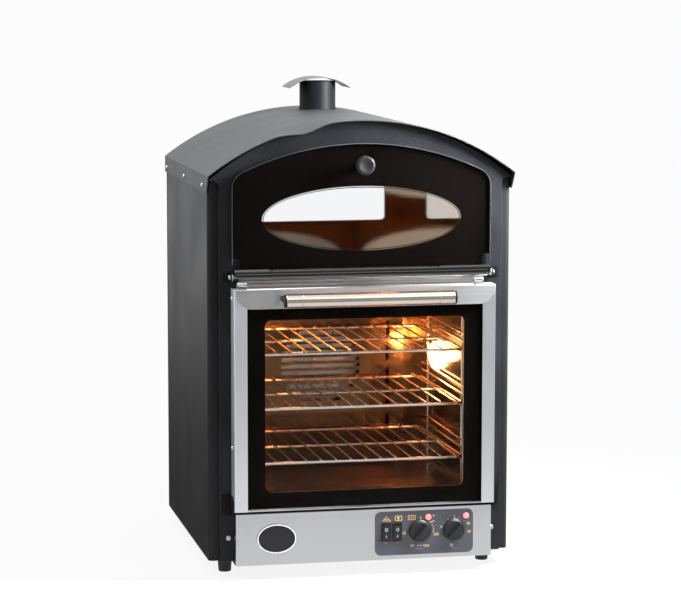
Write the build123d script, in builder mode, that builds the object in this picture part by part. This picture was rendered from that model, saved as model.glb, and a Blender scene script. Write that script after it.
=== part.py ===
from build123d import *
from math import cos, radians, sin, sqrt
import os

# Counter-top baked potato oven: a convection oven below, a lit display chamber above.
# Millimetres, +X right, +Y to the back, +Z up. Z = 0 is what the feet stand on,
# X = 0 is the middle of the cabinet, and Y = 0 is midway between handle and cable gland.

os.makedirs("parts", exist_ok=True)

# ---------------------------------------------------------------- driving dimensions
# cabinet
body_width = 510.0
body_depth = 466.0
foot_height = 27.0
eave_height = 665.6
crown_height = 754.0
sheet = 1.2
bend = 7.0
strip_width = 17.0
return_width = 43.0
rear_return = 16.0

# roof
roof_sheet_gauge = 1.5
roof_overhang_front = 23.3
roof_overhang_rear = 3.0
roof_side_gap = 1.0
roof_flange = 28.0
roof_flange_setback = 21.0
roof_flange_corner = 5.0
sag_place = -98.0
sag_half_width = 52.0
sag_depth = 8.8
sag_run = 60.0

# front fascia
fascia_depth = 10.0
fascia_roof_gap = 0.5
fascia_end_drop = 6.1
fascia_shoulder_drop = 8.6
fascia_corner = 9.0
fascia_edge_round = 1.2
fascia_gauge = 1.5

# display chamber and its flap
flap_pivot_reach = 18.0
flap_pivot_height = 500.0
chamber_half_width = 185.4
chamber_floor = flap_pivot_height + 10.0
chamber_crown = 700.0
arch_radius = 471.0
chamber_corner = 25.0
liner = 1.0
liner_flange = 11.0
window_half_width = 146.0
window_bottom = 544.0
window_top = 650.0
glass_half_width = 216.5
glass_crown = 715.0
glass_corner = 30.0
glass_thickness = 6.0
glass_front = 19.4
print_thickness = 0.3
print_margin = 0.2
ellipse_long = 167.0
ellipse_short = 53.0
ellipse_height = 592.5
ellipse_slit = 1.3
ellipse_band = 1.3
rail_half_width = 214.6
rail_top = flap_pivot_height + 13.0
rail_bottom = flap_pivot_height - 4.4
rail_end_slant = 6.3
knob_height = 681.0
knob_radius = 15.8
knob_dish = 1.6

# oven cavity
cavity_half_width = 190.0
cavity_floor = 130.0
cavity_top = flap_pivot_height - 36.0
cavity_rear = 372.0
cavity_corner = 12.0
insulation_gap = 0.5
insulation_thickness = 18.0

# racks
rack_half_width = 180.0
rack_front = 14.0
rack_rear = 318.0
rack_frame_wire = 5.0
rack_bar_wire = 3.2
rack_bar_pitch = 25.5
rack_bottom_height = 183.5
rack_pitch = 91.5
runner_wire = 4.0

# lower door
door_half_width = 219.3
door_front = 46.4
door_thickness = 32.0
door_bottom = 116.0
door_top = flap_pivot_height - 18.0
stile_width = 22.0
window_x = 167.0
window_z_low = 146.0
window_z_high = door_top - 51.0
window_corner = 10.0
bar_height = 31.5
bar_corner = 27.0
bar_gauge = 1.5
door_pivot_reach = 34.0
door_pivot_height = 132.0
door_swing_radius = 19.4
handle_length = 281.0
handle_radius = 11.4
handle_reach = 81.6
handle_height = door_top - 15.0

# control panel
panel_half_width = 216.4
panel_bottom = 25.2
panel_top = 110.9
panel_front = 40.4
plate_width = 167.5
plate_height = 73.6
plate_corner = 10.0
plate_gauge = 1.0
plate_x = 100.8
plate_z = 69.2
control_row = 71.8
rocker_x = (35.7, 54.6)
dial_x = (93.0, 151.0)
pilot_x = (107.5, 172.2)
pilot_row = 94.5
pilot_radius = 5.0
dial_radius = 19.0
badge_x = -148.4
badge_z = 68.7
badge_long = 33.0
badge_short = 24.7

# chimney
flue_radius = 31.8
flue_wall = 1.5
flue_top = 802.6
flue_x = -1.2
flue_place = 354.0
cap_x = -3.5
cap_half_width = 54.1
cap_depth = 75.0
cap_tip = 792.6
cap_crown = 810.5

# rear
louvre_height_place = 250.0
gland_reach = 18.0
gland_x = 170.0
gland_z = 72.0

# clearances
running = 0.05
free = 0.3
seat = 0.0

# ---------------------------------------------------------------- derived places
front = (handle_reach + handle_radius - body_depth - gland_reach) / 2
rear = front + body_depth
fascia_front = front - fascia_depth
fascia_back = fascia_front + fascia_gauge
half_width = body_width / 2
roof_half_width = half_width + roof_side_gap + roof_sheet_gauge
roof_rise = crown_height - eave_height
roof_radius = (roof_half_width**2 + roof_rise**2) / (2 * roof_rise)
fascia_shoulder = eave_height - fascia_shoulder_drop
fascia_side = half_width - 1.0
fascia_rise = crown_height - roof_sheet_gauge - fascia_roof_gap - eave_height + fascia_end_drop
fascia_radius = (fascia_side**2 + fascia_rise**2) / (2 * fascia_rise)
door_rear = front - door_front + door_thickness
door_face = front - door_front
panel_face = front - panel_front


def upright(y):
    """A plane facing the front at depth y: local x is X, local y is Z."""
    return Plane(origin=(0, y, 0), x_dir=(1, 0, 0), z_dir=(0, -1, 0))


def sideways(x):
    """A plane facing +X at x: local x is Y, local y is Z."""
    return Plane.YZ.offset(x)


def arc_height(x, crown, radius):
    """Height of a round arch at a distance x from the middle."""
    return crown - radius + sqrt(radius**2 - x**2)


def sagging_arch(half, crown, radius, sag):
    """The edge of an arch that sags a little on the left of the crown, from left to right."""
    start = sag_place - sag_half_width
    end = sag_place + sag_half_width
    left = (start - half) / 2
    quarter = (start + sag_place) / 2

    def at(x, drop=0.0):
        return (x, arc_height(x, crown, radius) - drop)

    def along(x):
        return (sqrt(radius**2 - x**2), -x)

    ThreePointArc(at(-half), at(left), at(start))
    Spline(
        at(start),
        at(quarter, 0.42 * sag),
        at(sag_place, sag),
        at(end),
        tangents=(along(start), along(end)),
    )
    ThreePointArc(at(end), at((end + half) / 2), at(half))


def arched_face(half, base, crown, corner, grow=0.0):
    """A window shape: upright sides, a round arch and rounded shoulders."""
    side = half + grow
    top = crown + grow
    radius = arch_radius + grow
    shoulder = arc_height(side, top, radius)
    with BuildLine() as edge:
        Polyline((-side, shoulder), (-side, base - grow), (side, base - grow), (side, shoulder))
        ThreePointArc((-side, shoulder), (0, top), (side, shoulder))
    face = make_face(edge.edges(), mode=Mode.PRIVATE).face()
    add(face.fillet_2d(corner + grow, face.vertices().group_by(Axis.Y)[-1]))


def folded(points, gauge, side, radius=bend):
    """The section of a folded sheet: a path with rounded bends, thickened to one side."""
    with BuildLine() as path:
        FilletPolyline(*points, radius=radius)
        offset(amount=gauge, side=side)
    make_face(path.edges())


def dome_head(radius, height):
    """Half the section of a dome screw head, to be turned about local Y."""
    with BuildLine() as edge:
        Polyline((0, height), (0, 0), (radius, 0), (radius, 0.3 * height))
        Spline((radius, 0.3 * height), (0, height), tangents=((0, 1), (-1, 0)))
    make_face(edge.edges())


# ---------------------------------------------------------------- cabinet
def roof_section(sag):
    """The roof's arched sheet alone, seen from the front."""
    edge_x = roof_half_width
    with BuildLine() as edge:
        sagging_arch(edge_x, crown_height, roof_radius, sag)
        sagging_arch(edge_x, crown_height - roof_sheet_gauge, roof_radius, sag)
        for x in (-edge_x, edge_x):
            Line((x, eave_height), (x, eave_height - roof_sheet_gauge))
    make_face(edge.edges())


roof_front = front - roof_overhang_front
roof_rear = rear + roof_overhang_rear
flange_bottom = eave_height - roof_flange
with BuildPart() as roof_sheet:
    with BuildSketch(upright(roof_front)):
        roof_section(sag_depth)
    with BuildSketch(upright(front + sag_run)):
        roof_section(0)
    loft()
    with BuildSketch(upright(roof_rear)):
        roof_section(0)
    extrude(amount=roof_rear - front - sag_run)
    for side in (-1, 1):
        inner = side * (roof_half_width - roof_sheet_gauge)
        outer = side * roof_half_width
        with BuildSketch(sideways(min(inner, outer))) as flange:
            with BuildLine():
                Polyline(
                    (roof_front, eave_height),
                    (roof_front + roof_flange_setback, flange_bottom),
                    (roof_rear, flange_bottom),
                    (roof_rear, eave_height),
                    close=True,
                )
            make_face()
            fillet(flange.vertices().group_by(Axis.Y)[0].sort_by(Axis.X)[0], roof_flange_corner)
        extrude(amount=roof_sheet_gauge)
    with Locations((flue_x, front + flue_place, crown_height)):
        Cylinder(flue_radius + free, 4 * roof_rise, mode=Mode.SUBTRACT)
    for side in (-1, 1):
        for along_y in (36.0, 235.5, 442.0):
            with Locations(Location((side * roof_half_width, front + along_y, 646.8), (0, 90, 0))):
                Cylinder(2.2, 8, mode=Mode.SUBTRACT)
roof_sheet.part.label = "roof_sheet"

with BuildPart() as left_side_panel:
    with BuildSketch(Plane.XY.offset(foot_height)):
        folded(
            [
                (-half_width + return_width, front),
                (-half_width, front),
                (-half_width, rear - sheet),
                (-half_width + rear_return, rear - sheet),
            ],
            sheet,
            Side.RIGHT,
        )
    extrude(amount=eave_height - roof_sheet_gauge - 1.0 - foot_height)
    for along_y in (36.0, 235.5, 442.0):
        with Locations(Location((-half_width, front + along_y, 646.8), (0, 90, 0))):
            Cylinder(2.2, 8, mode=Mode.SUBTRACT)
left_side_panel.part.label = "left_side_panel"

with BuildPart() as right_side_panel:
    mirror(left_side_panel.part, about=Plane.YZ)
right_side_panel.part.label = "right_side_panel"

pan_rise = 22.0
foot_x = half_width - 33.4
foot_front = front + 42.0
foot_rear = rear - 42.0
foot_spots = [(x, y) for x in (-foot_x, foot_x) for y in (foot_front, foot_rear)]
with BuildPart() as base_pan:
    pan_x = half_width - sheet
    pan_front = front + sheet
    pan_rear = rear - 2 * sheet
    pan_middle = (pan_front + pan_rear) / 2
    with BuildSketch(Plane.XY.offset(foot_height)):
        with Locations((0, pan_middle)):
            RectangleRounded(2 * pan_x, pan_rear - pan_front, bend - sheet)
    extrude(amount=pan_rise)
    with BuildSketch(Plane.XY.offset(foot_height + sheet)):
        with Locations((0, pan_middle)):
            RectangleRounded(2 * (pan_x - sheet), pan_rear - pan_front - 2 * sheet, bend - sheet)
    extrude(amount=pan_rise, mode=Mode.SUBTRACT)
    with BuildSketch(Plane.XY.offset(foot_height)):
        with Locations((0, front + 120), (0, front + 345)):
            with GridLocations(30, 0, 7, 1):
                SlotOverall(44, 4, rotation=90)
    extrude(amount=sheet, mode=Mode.SUBTRACT)
base_pan.part.label = "base_pan"

with BuildPart() as feet:
    for x, y in foot_spots:
        with BuildSketch(Plane.XY):
            with Locations((x, y)):
                Circle(10.5)
        extrude(amount=foot_height, taper=-4)
    fillet(feet.edges().group_by(Axis.Z)[0], 2.0)
feet.part.label = "feet"

rear_gap = 0.3
with BuildPart() as rear_panel:
    rear_base = foot_height
    rear_eave = arc_height(half_width, crown_height - roof_sheet_gauge - rear_gap, roof_radius)
    with BuildSketch(upright(rear)):
        with BuildLine():
            Polyline(
                (-half_width, rear_eave),
                (-half_width, rear_base),
                (half_width, rear_base),
                (half_width, rear_eave),
            )
            ThreePointArc(
                (-half_width, rear_eave),
                (0, crown_height - roof_sheet_gauge - rear_gap),
                (half_width, rear_eave),
            )
        make_face()
        with Locations((0, (window_bottom + window_top) / 2)):
            RectangleRounded(
                2 * window_half_width, window_top - window_bottom, 8, mode=Mode.SUBTRACT
            )
        with Locations((gland_x, gland_z)):
            Circle(8.2, mode=Mode.SUBTRACT)
    extrude(amount=sheet)
    louvre_length = 90.0
    louvre_height = 7.0
    louvre_reach = 4.0
    louvre_rows = 7
    with BuildSketch(upright(rear)):
        with Locations((-90, louvre_height_place), (90, louvre_height_place)):
            with GridLocations(0, 24, 1, louvre_rows):
                Rectangle(louvre_length - 4, 3.0)
    extrude(amount=sheet, mode=Mode.SUBTRACT)
    for x in (-90, 90):
        for row in range(louvre_rows):
            z = louvre_height_place + 24 * (row - (louvre_rows - 1) / 2)
            with BuildSketch(sideways(x - louvre_length / 2)):
                with BuildLine():
                    Line((rear, z - 1.5), (rear + louvre_reach, z - 1.5))
                    Line((rear + louvre_reach, z - 1.5), (rear + louvre_reach - sheet, z))
                    Line((rear + louvre_reach - sheet, z), (rear, z + louvre_height))
                    Line((rear, z + louvre_height), (rear, z - 1.5))
                make_face()
            extrude(amount=louvre_length)
            with BuildSketch(sideways(x - louvre_length / 2 + sheet)):
                with BuildLine():
                    Polyline(
                        (rear - sheet, z - 1.5),
                        (rear + louvre_reach - sheet, z - 1.5),
                        (rear, z + louvre_height - 2 * sheet),
                        (rear - sheet, z + 1.5),
                        close=True,
                    )
                make_face()
            extrude(amount=louvre_length - 2 * sheet, mode=Mode.SUBTRACT)
rear_panel.part.label = "rear_panel"

def fascia_face(inset):
    """The fascia's outline, drawn in from its edge: two legs and an arched head."""
    leg = half_width - strip_width - inset
    side = fascia_side - inset
    crown = crown_height - roof_sheet_gauge - fascia_roof_gap - inset
    shoulder = fascia_shoulder + inset
    shoulder_top = arc_height(side, crown, fascia_radius - inset)
    with BuildLine() as edge:
        sagging_arch(side, crown, fascia_radius - inset, sag_depth + 0.8)
        Polyline(
            (-side, shoulder_top),
            (-side, shoulder),
            (-leg, shoulder),
            (-leg, foot_height + inset),
            (leg, foot_height + inset),
            (leg, shoulder),
            (side, shoulder),
            (side, shoulder_top),
        )
    face = make_face(edge.edges(), mode=Mode.PRIVATE).face()
    corners = face.vertices().filter_by(lambda v: abs(abs(v.X) - leg) < 0.1 and v.Y > 100)
    add(face.fillet_2d(fascia_corner + inset, corners))


leg_x = half_width - strip_width
with BuildPart() as front_fascia:
    with BuildSketch(upright(front)):
        fascia_face(0)
    extrude(amount=fascia_depth)
    fillet(front_fascia.faces().sort_by(Axis.Y)[0].edges(), fascia_edge_round)
    with BuildSketch(upright(front)):
        fascia_face(fascia_gauge)
    extrude(amount=fascia_depth - fascia_gauge, mode=Mode.SUBTRACT)
    with BuildSketch(upright(front)):
        arched_face(chamber_half_width, chamber_floor, chamber_crown, chamber_corner)
        with Locations((0, (cavity_floor + cavity_top) / 2)):
            RectangleRounded(2 * cavity_half_width, cavity_top - cavity_floor, cavity_corner)
        with Locations((0, 52)):
            Rectangle(400, 104)
    extrude(amount=fascia_depth, mode=Mode.SUBTRACT)
front_fascia.part.label = "front_fascia"

rail_plate_front = 2.0
centre_rail_half_width = 205.0
centre_rail_low = cavity_top + 8.0
centre_rail_high = door_top + 12.0
with BuildPart() as centre_rail:
    with BuildSketch(sideways(-centre_rail_half_width)):
        with BuildLine():
            Polyline(
                (fascia_front, centre_rail_low),
                (fascia_front - rail_plate_front, centre_rail_low),
                (fascia_front - rail_plate_front, centre_rail_high - 10.0),
                (fascia_front - rail_plate_front, centre_rail_high - 1.0),
                (fascia_front, centre_rail_high),
                close=True,
            )
        make_face()
    extrude(amount=2 * centre_rail_half_width)
    bead_z = centre_rail_high - 6.0
    with Locations(Location((0, fascia_front - rail_plate_front, bead_z), (0, 90, 0))):
        Cylinder(1.2, 2 * centre_rail_half_width)
centre_rail.part.label = "centre_rail"

# ---------------------------------------------------------------- oven cavity
lamp_y = 225.0
lamp_z = 326.0
fan_z = (cavity_floor + cavity_top) / 2
element_radius = 92.0
element_gap = 9.0
element_leg_x = element_radius * sin(radians(element_gap))
element_leg_z = fan_z - element_radius * cos(radians(element_gap))
with BuildPart() as oven_cavity:
    depth = front + cavity_rear - fascia_back
    middle_z = (cavity_floor + cavity_top) / 2
    height = cavity_top - cavity_floor
    with BuildSketch(upright(front + cavity_rear + liner)):
        with Locations((0, middle_z)):
            RectangleRounded(2 * (cavity_half_width + liner), height + 2 * liner, cavity_corner + liner)
    extrude(amount=depth + liner)
    with BuildSketch(upright(fascia_back + liner)):
        with Locations((0, middle_z)):
            RectangleRounded(2 * (cavity_half_width + liner_flange), height + 2 * liner_flange, 16)
    extrude(amount=liner)
    with BuildSketch(upright(front + cavity_rear)):
        with Locations((0, middle_z)):
            RectangleRounded(2 * cavity_half_width, height, cavity_corner)
    extrude(amount=depth, mode=Mode.SUBTRACT)
    with Locations(Location((0, front + cavity_rear, fan_z), (90, 0, 0))):
        Cylinder(7, 8, mode=Mode.SUBTRACT)
    for x in (-element_leg_x, element_leg_x):
        with Locations(Location((x, front + cavity_rear, element_leg_z), (90, 0, 0))):
            Cylinder(4 + free, 8, mode=Mode.SUBTRACT)
    with Locations(Location((cavity_half_width, front + lamp_y, lamp_z), (0, 90, 0))):
        Cylinder(20.0, 8, mode=Mode.SUBTRACT)
oven_cavity.part.label = "oven_cavity"

with BuildPart() as cavity_insulation:
    wool_front = front + 12.0
    wool_rear = front + cavity_rear + liner + insulation_gap + insulation_thickness
    wool_inner_x = cavity_half_width + liner + insulation_gap
    wool_x = wool_inner_x + insulation_thickness
    wool_low = cavity_floor - liner - insulation_gap
    wool_high = cavity_top + liner + insulation_gap
    with BuildSketch(upright(wool_rear)):
        with Locations((0, (wool_low + wool_high) / 2)):
            RectangleRounded(2 * wool_x, wool_high - wool_low + 2 * insulation_thickness, 20)
    extrude(amount=wool_rear - wool_front)
    with BuildSketch(upright(wool_rear - insulation_thickness)):
        with Locations((0, (wool_low + wool_high) / 2)):
            RectangleRounded(2 * wool_inner_x, wool_high - wool_low, cavity_corner)
    extrude(amount=wool_rear - wool_front, mode=Mode.SUBTRACT)
    with Locations(Location((0, wool_rear, fan_z), (90, 0, 0))):
        Cylinder(60, 3 * insulation_thickness, mode=Mode.SUBTRACT)
    with Locations((0, wool_rear, element_leg_z)):
        Box(60, 3 * insulation_thickness, 40, mode=Mode.SUBTRACT)
    with Locations(Location((wool_x, front + lamp_y, lamp_z), (0, 90, 0))):
        Cylinder(30, 3 * insulation_thickness, mode=Mode.SUBTRACT)
cavity_insulation.part.label = "cavity_insulation"

baffle_front = 330.0
baffle_half_width = 150.0
baffle_half_height = (cavity_top - cavity_floor) / 2 - 20.0
grille_radius = 72.0
slot_pitch = 12.0
with BuildPart() as fan_baffle:
    with BuildSketch(upright(front + cavity_rear)):
        with Locations((0, fan_z)):
            RectangleRounded(2 * baffle_half_width, 2 * baffle_half_height, 14)
    extrude(amount=cavity_rear - baffle_front)
    with BuildSketch(upright(front + cavity_rear)):
        with Locations((0, fan_z)):
            RectangleRounded(2 * (baffle_half_width - liner), 2 * (baffle_half_height - liner), 13)
    extrude(amount=cavity_rear - baffle_front - liner, mode=Mode.SUBTRACT)
    with BuildSketch(upright(front + cavity_rear)):
        for row in range(-5, 6):
            drop = row * slot_pitch
            chord = 2 * sqrt(grille_radius**2 - drop**2)
            with Locations((0, fan_z + drop)):
                SlotOverall(chord, 6.5)
        with Locations((-122, fan_z), (122, fan_z)):
            with GridLocations(0, 42, 1, 6):
                SlotOverall(30, 7, rotation=90)
    extrude(amount=cavity_rear, mode=Mode.SUBTRACT)
fan_baffle.part.label = "fan_baffle"

with BuildPart() as heating_element:
    ring_y = front + 351.0
    with BuildLine(upright(ring_y)) as loop:
        CenterArc((0, fan_z), element_radius, 270 + element_gap, 360 - 2 * element_gap)
    with BuildSketch(Plane(origin=loop.line @ 0, z_dir=loop.line % 0)):
        Circle(4.0)
    sweep(path=loop.line)
    for end in (loop.line @ 0, loop.line @ 1):
        with BuildSketch(Plane(origin=(end.X, ring_y - 4.0, end.Z), z_dir=(0, 1, 0))):
            Circle(4.0)
        extrude(amount=cavity_rear + 14 - 351.0 + 4.0)
heating_element.part.label = "heating_element"

motor_radius = 42.0
with BuildPart() as fan_motor:
    motor_front = front + cavity_rear + liner + 6.0
    with BuildSketch(upright(motor_front)):
        with Locations((0, fan_z)):
            Circle(motor_radius)
    extrude(amount=-34)
    with BuildSketch(upright(motor_front + 34)):
        with Locations((0, fan_z)):
            Circle(30)
    extrude(amount=-14)
    fillet(fan_motor.edges().group_by(Axis.Y)[-1], 5)
    with BuildSketch(upright(motor_front + 8)):
        with Locations((0, fan_z)):
            with PolarLocations(motor_radius + 3, 4, start_angle=45):
                Circle(5)
    extrude(amount=14)
    with Locations(Location((0, motor_front, fan_z), (90, 0, 0))):
        Cylinder(4 + running, 30, mode=Mode.SUBTRACT)
fan_motor.part.label = "fan_motor"

blade_count = 12
fan_radius = 72.0
with BuildPart() as fan_impeller:
    fan_back = front + 362.0
    with BuildSketch(upright(fan_back)):
        with Locations((0, fan_z)):
            Circle(fan_radius)
    extrude(amount=1.2)
    with BuildSketch(upright(fan_back)):
        with Locations((0, fan_z)):
            Circle(13)
    extrude(amount=20)
    with BuildSketch(upright(fan_back - 1.2)):
        with Locations((0, fan_z)):
            with PolarLocations(52, blade_count):
                with Locations(Rotation(0, 0, 28)):
                    RectangleRounded(34, 1.6, 0.6)
    extrude(amount=20)
    with Locations(Location((0, front + cavity_rear, fan_z), (90, 0, 0))):
        Cylinder(4, 34)
fan_impeller.part.label = "fan_impeller"

# ---------------------------------------------------------------- racks and runners
rack_heights = [rack_bottom_height + i * rack_pitch for i in range(3)]


def wire_rack(height):
    """A chromed wire shelf: a bent frame wire, a middle wire and bars laid across them."""
    wire = rack_frame_wire / 2
    bar = rack_bar_wire / 2
    corner = 14.0
    front_y = front + rack_front
    rear_y = front + rack_rear
    middle_y = (front_y + rear_y) / 2
    length = rack_rear - rack_front
    bars = int((2 * rack_half_width - 2 * corner) // rack_bar_pitch) + 1
    with BuildPart() as rack:
        with BuildLine(Plane.XY.offset(height)) as loop:
            FilletPolyline(
                (0, rear_y),
                (-rack_half_width, rear_y),
                (-rack_half_width, front_y),
                (0, front_y),
                radius=corner,
            )
            mirror(about=Plane.YZ)
        with BuildSketch(Plane(origin=(0, rear_y, height), z_dir=(1, 0, 0))):
            Circle(wire)
        sweep(path=loop.wire())
        with BuildSketch(upright(middle_y + length / 2 + wire)):
            with Locations((0, height + wire + bar - 0.6)):
                with GridLocations(rack_bar_pitch, 0, bars, 1):
                    Circle(bar)
        extrude(amount=length + 2 * wire)
        with BuildSketch(sideways(-rack_half_width)):
            with Locations((middle_y, height - 0.4)):
                Circle(wire - 0.4)
        extrude(amount=2 * rack_half_width)
    return rack.part


with BuildPart() as rack_bottom:
    add(wire_rack(rack_heights[0]))
rack_bottom.part.label = "rack_bottom"

with BuildPart() as rack_middle:
    add(wire_rack(rack_heights[1]))
rack_middle.part.label = "rack_middle"

with BuildPart() as rack_top:
    add(wire_rack(rack_heights[2]))
rack_top.part.label = "rack_top"

post_gap = 2.0
with BuildPart() as runner_left:
    wire = runner_wire / 2
    post_x = -(cavity_half_width - post_gap - wire)
    rest_x = -(rack_half_width - 1.0)
    posts_y = (front + 46.0, front + 286.0)
    run = 290.0
    run_start = front + 22.0
    for y in posts_y:
        with BuildSketch(Plane.XY.offset(cavity_floor + 7)):
            with Locations((post_x, y)):
                Circle(wire)
        extrude(amount=cavity_top - cavity_floor - 14)
        for z in (cavity_floor + 20, cavity_top - 20):
            with BuildSketch(sideways(-cavity_half_width)):
                with Locations((y, z)):
                    Circle(wire)
            extrude(amount=post_gap + wire)
    for height in rack_heights:
        rest_z = height - rack_frame_wire / 2 - wire
        with BuildSketch(upright(run_start + run)):
            with Locations((rest_x, rest_z), (post_x + 3.0, rest_z + 17), (post_x + 3.0, rest_z + 30)):
                Circle(wire)
        extrude(amount=run)
        for y in posts_y:
            with BuildSketch(sideways(post_x)):
                with Locations((y, rest_z)):
                    Circle(wire)
            extrude(amount=rest_x - post_x)
runner_left.part.label = "runner_left"

with BuildPart() as runner_right:
    mirror(runner_left.part, about=Plane.YZ)
runner_right.part.label = "runner_right"

with BuildPart() as oven_lamp_lens:
    with BuildSketch(Plane(origin=(cavity_half_width - 0.2, front + lamp_y, lamp_z), z_dir=(0, 0, 1),
                           x_dir=(0, 1, 0))):
        with BuildLine():
            Polyline((0, 14), (0, 0), (24, 0), (24, 3))
            Spline((24, 3), (0, 14), tangents=((0, 1), (-1, 0)))
        make_face()
    revolve(axis=Axis((0, front + lamp_y, lamp_z), (1, 0, 0)))
oven_lamp_lens.part.label = "oven_lamp_lens"

with BuildPart() as oven_lamp_holder:
    with BuildSketch(sideways(cavity_half_width + liner)):
        with Locations((front + lamp_y, lamp_z)):
            Circle(26)
    extrude(amount=2)
    with BuildSketch(sideways(cavity_half_width + liner)):
        with Locations((front + lamp_y, lamp_z)):
            Circle(19)
    extrude(amount=30)
    with BuildSketch(sideways(cavity_half_width + liner)):
        with Locations((front + lamp_y, lamp_z)):
            Circle(15)
    extrude(amount=24, mode=Mode.SUBTRACT)
oven_lamp_holder.part.label = "oven_lamp_holder"

seal_depth = 3.9
with BuildPart() as door_seal:
    with BuildSketch(upright(fascia_front)):
        with Locations((0, fan_z)):
            RectangleRounded(2 * cavity_half_width + 15, cavity_top - cavity_floor + 15, 19)
            RectangleRounded(
                2 * cavity_half_width + 3, cavity_top - cavity_floor + 3, 13.5, mode=Mode.SUBTRACT
            )
    extrude(amount=seal_depth)
    chamfer(door_seal.faces().sort_by(Axis.Y)[0].edges(), 1.4)
door_seal.part.label = "door_seal"

# ---------------------------------------------------------------- display chamber
chamber_rear = rear - sheet - 4.3 - liner
with BuildPart() as display_chamber:
    with BuildSketch(upright(chamber_rear + liner)):
        arched_face(chamber_half_width, chamber_floor, chamber_crown, chamber_corner, liner)
    extrude(amount=chamber_rear + liner - fascia_back)
    with BuildSketch(upright(fascia_back + liner)):
        arched_face(chamber_half_width, chamber_floor, chamber_crown, chamber_corner, liner_flange)
    extrude(amount=liner)
    with BuildSketch(upright(chamber_rear)):
        arched_face(chamber_half_width, chamber_floor, chamber_crown, chamber_corner)
    extrude(amount=chamber_rear - fascia_back, mode=Mode.SUBTRACT)
    with BuildSketch(upright(rear)):
        with Locations((0, (window_bottom + window_top) / 2)):
            RectangleRounded(2 * window_half_width, window_top - window_bottom, 8)
    extrude(amount=rear - chamber_rear + 1, mode=Mode.SUBTRACT)
display_chamber.part.label = "display_chamber"

window_middle = (window_bottom + window_top) / 2
window_height = window_top - window_bottom
with BuildPart() as rear_window_seal:
    with BuildSketch(upright(rear - sheet)):
        with Locations((0, window_middle)):
            RectangleRounded(2 * window_half_width + 34, window_height + 34, 20)
            RectangleRounded(2 * window_half_width + 10, window_height + 10, 12, mode=Mode.SUBTRACT)
    extrude(amount=4.3)
rear_window_seal.part.label = "rear_window_seal"

with BuildPart() as rear_window_glass:
    with BuildSketch(upright(rear - sheet)):
        with Locations((0, window_middle)):
            RectangleRounded(2 * window_half_width + 10 - 2 * free, window_height + 10 - 2 * free, 12)
    extrude(amount=4.3)
rear_window_glass.part.label = "rear_window_glass"

bulb_z = 674.0
bulb_y = front + 200.0
clip_x = 58.0
with BuildPart() as display_lamp_holder:
    clip_top = arc_height(clip_x + 4, chamber_crown, arch_radius)
    for x in (-clip_x, clip_x):
        with Locations((x, bulb_y, (clip_top + bulb_z - 7) / 2)):
            Box(8, 16, clip_top - bulb_z + 7)
    with Locations(Location((0, bulb_y, bulb_z), (0, 90, 0))):
        Cylinder(3 + free, 2 * clip_x - 1, mode=Mode.SUBTRACT)
display_lamp_holder.part.label = "display_lamp_holder"

with BuildPart() as display_lamp_bulb:
    with Locations(Location((0, bulb_y, bulb_z), (0, 90, 0))):
        Cylinder(5.5, 2 * clip_x - 12)
        Cylinder(3, 2 * clip_x - 3)
display_lamp_bulb.part.label = "display_lamp_bulb"

# ---------------------------------------------------------------- control panel
rocker_width = 16.4
rocker_height = 31.6
rocker_flange = 2.0
rocker_body_x = 14.4
rocker_body_z = 28.4
plate_front = panel_face - plate_gauge
shaft_radius = 3.0
panel_middle = (panel_bottom + panel_top) / 2


def control_cutouts(grow):
    """The holes for rockers, dial shafts and pilot lights, in the panel and in its plate."""
    for x in rocker_x:
        with Locations((x, control_row)):
            Rectangle(rocker_body_x + 2 * grow, rocker_body_z + 2 * grow, mode=Mode.SUBTRACT)
    for x in dial_x:
        with Locations((x, control_row)):
            Circle(shaft_radius + 1.5, mode=Mode.SUBTRACT)
    for x in pilot_x:
        with Locations((x, pilot_row)):
            Circle(pilot_radius + grow, mode=Mode.SUBTRACT)


with BuildPart() as control_panel:
    with BuildSketch(Plane.XY.offset(panel_bottom)):
        folded(
            [
                (-panel_half_width, fascia_front),
                (-panel_half_width, panel_face),
                (panel_half_width, panel_face),
                (panel_half_width, fascia_front),
            ],
            sheet,
            Side.LEFT,
            2.5,
        )
    extrude(amount=panel_top - panel_bottom)
    for z in (panel_bottom, panel_top - sheet):
        with BuildSketch(Plane.XY.offset(z)):
            with BuildLine():
                Polyline(
                    (-panel_half_width + 0.6, fascia_front - 1.0),
                    (-panel_half_width + 0.6, panel_face + 1.5),
                    (-panel_half_width + 2.0, panel_face + 0.6),
                    (panel_half_width - 2.0, panel_face + 0.6),
                    (panel_half_width - 0.6, panel_face + 1.5),
                    (panel_half_width - 0.6, fascia_front - 1.0),
                    close=True,
                )
            make_face()
        extrude(amount=sheet)
    with BuildSketch(upright(panel_face + 5)) as holes:
        Rectangle(0.01, 0.01)
        with Locations(*[(x, control_row) for x in rocker_x]):
            Rectangle(rocker_body_x + 0.2, rocker_body_z + 0.2)
        with Locations(*[(x, control_row) for x in dial_x]):
            Circle(shaft_radius + 1.5)
        with Locations(*[(x, pilot_row) for x in pilot_x]):
            Circle(pilot_radius + 0.1)
    extrude(amount=10, mode=Mode.SUBTRACT)
control_panel.part.label = "control_panel"

with BuildPart() as control_plate:
    with BuildSketch(upright(panel_face)):
        with Locations((plate_x, plate_z)):
            RectangleRounded(plate_width, plate_height, plate_corner)
        control_cutouts(0.1)
    extrude(amount=plate_gauge)
control_plate.part.label = "control_plate"

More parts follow.
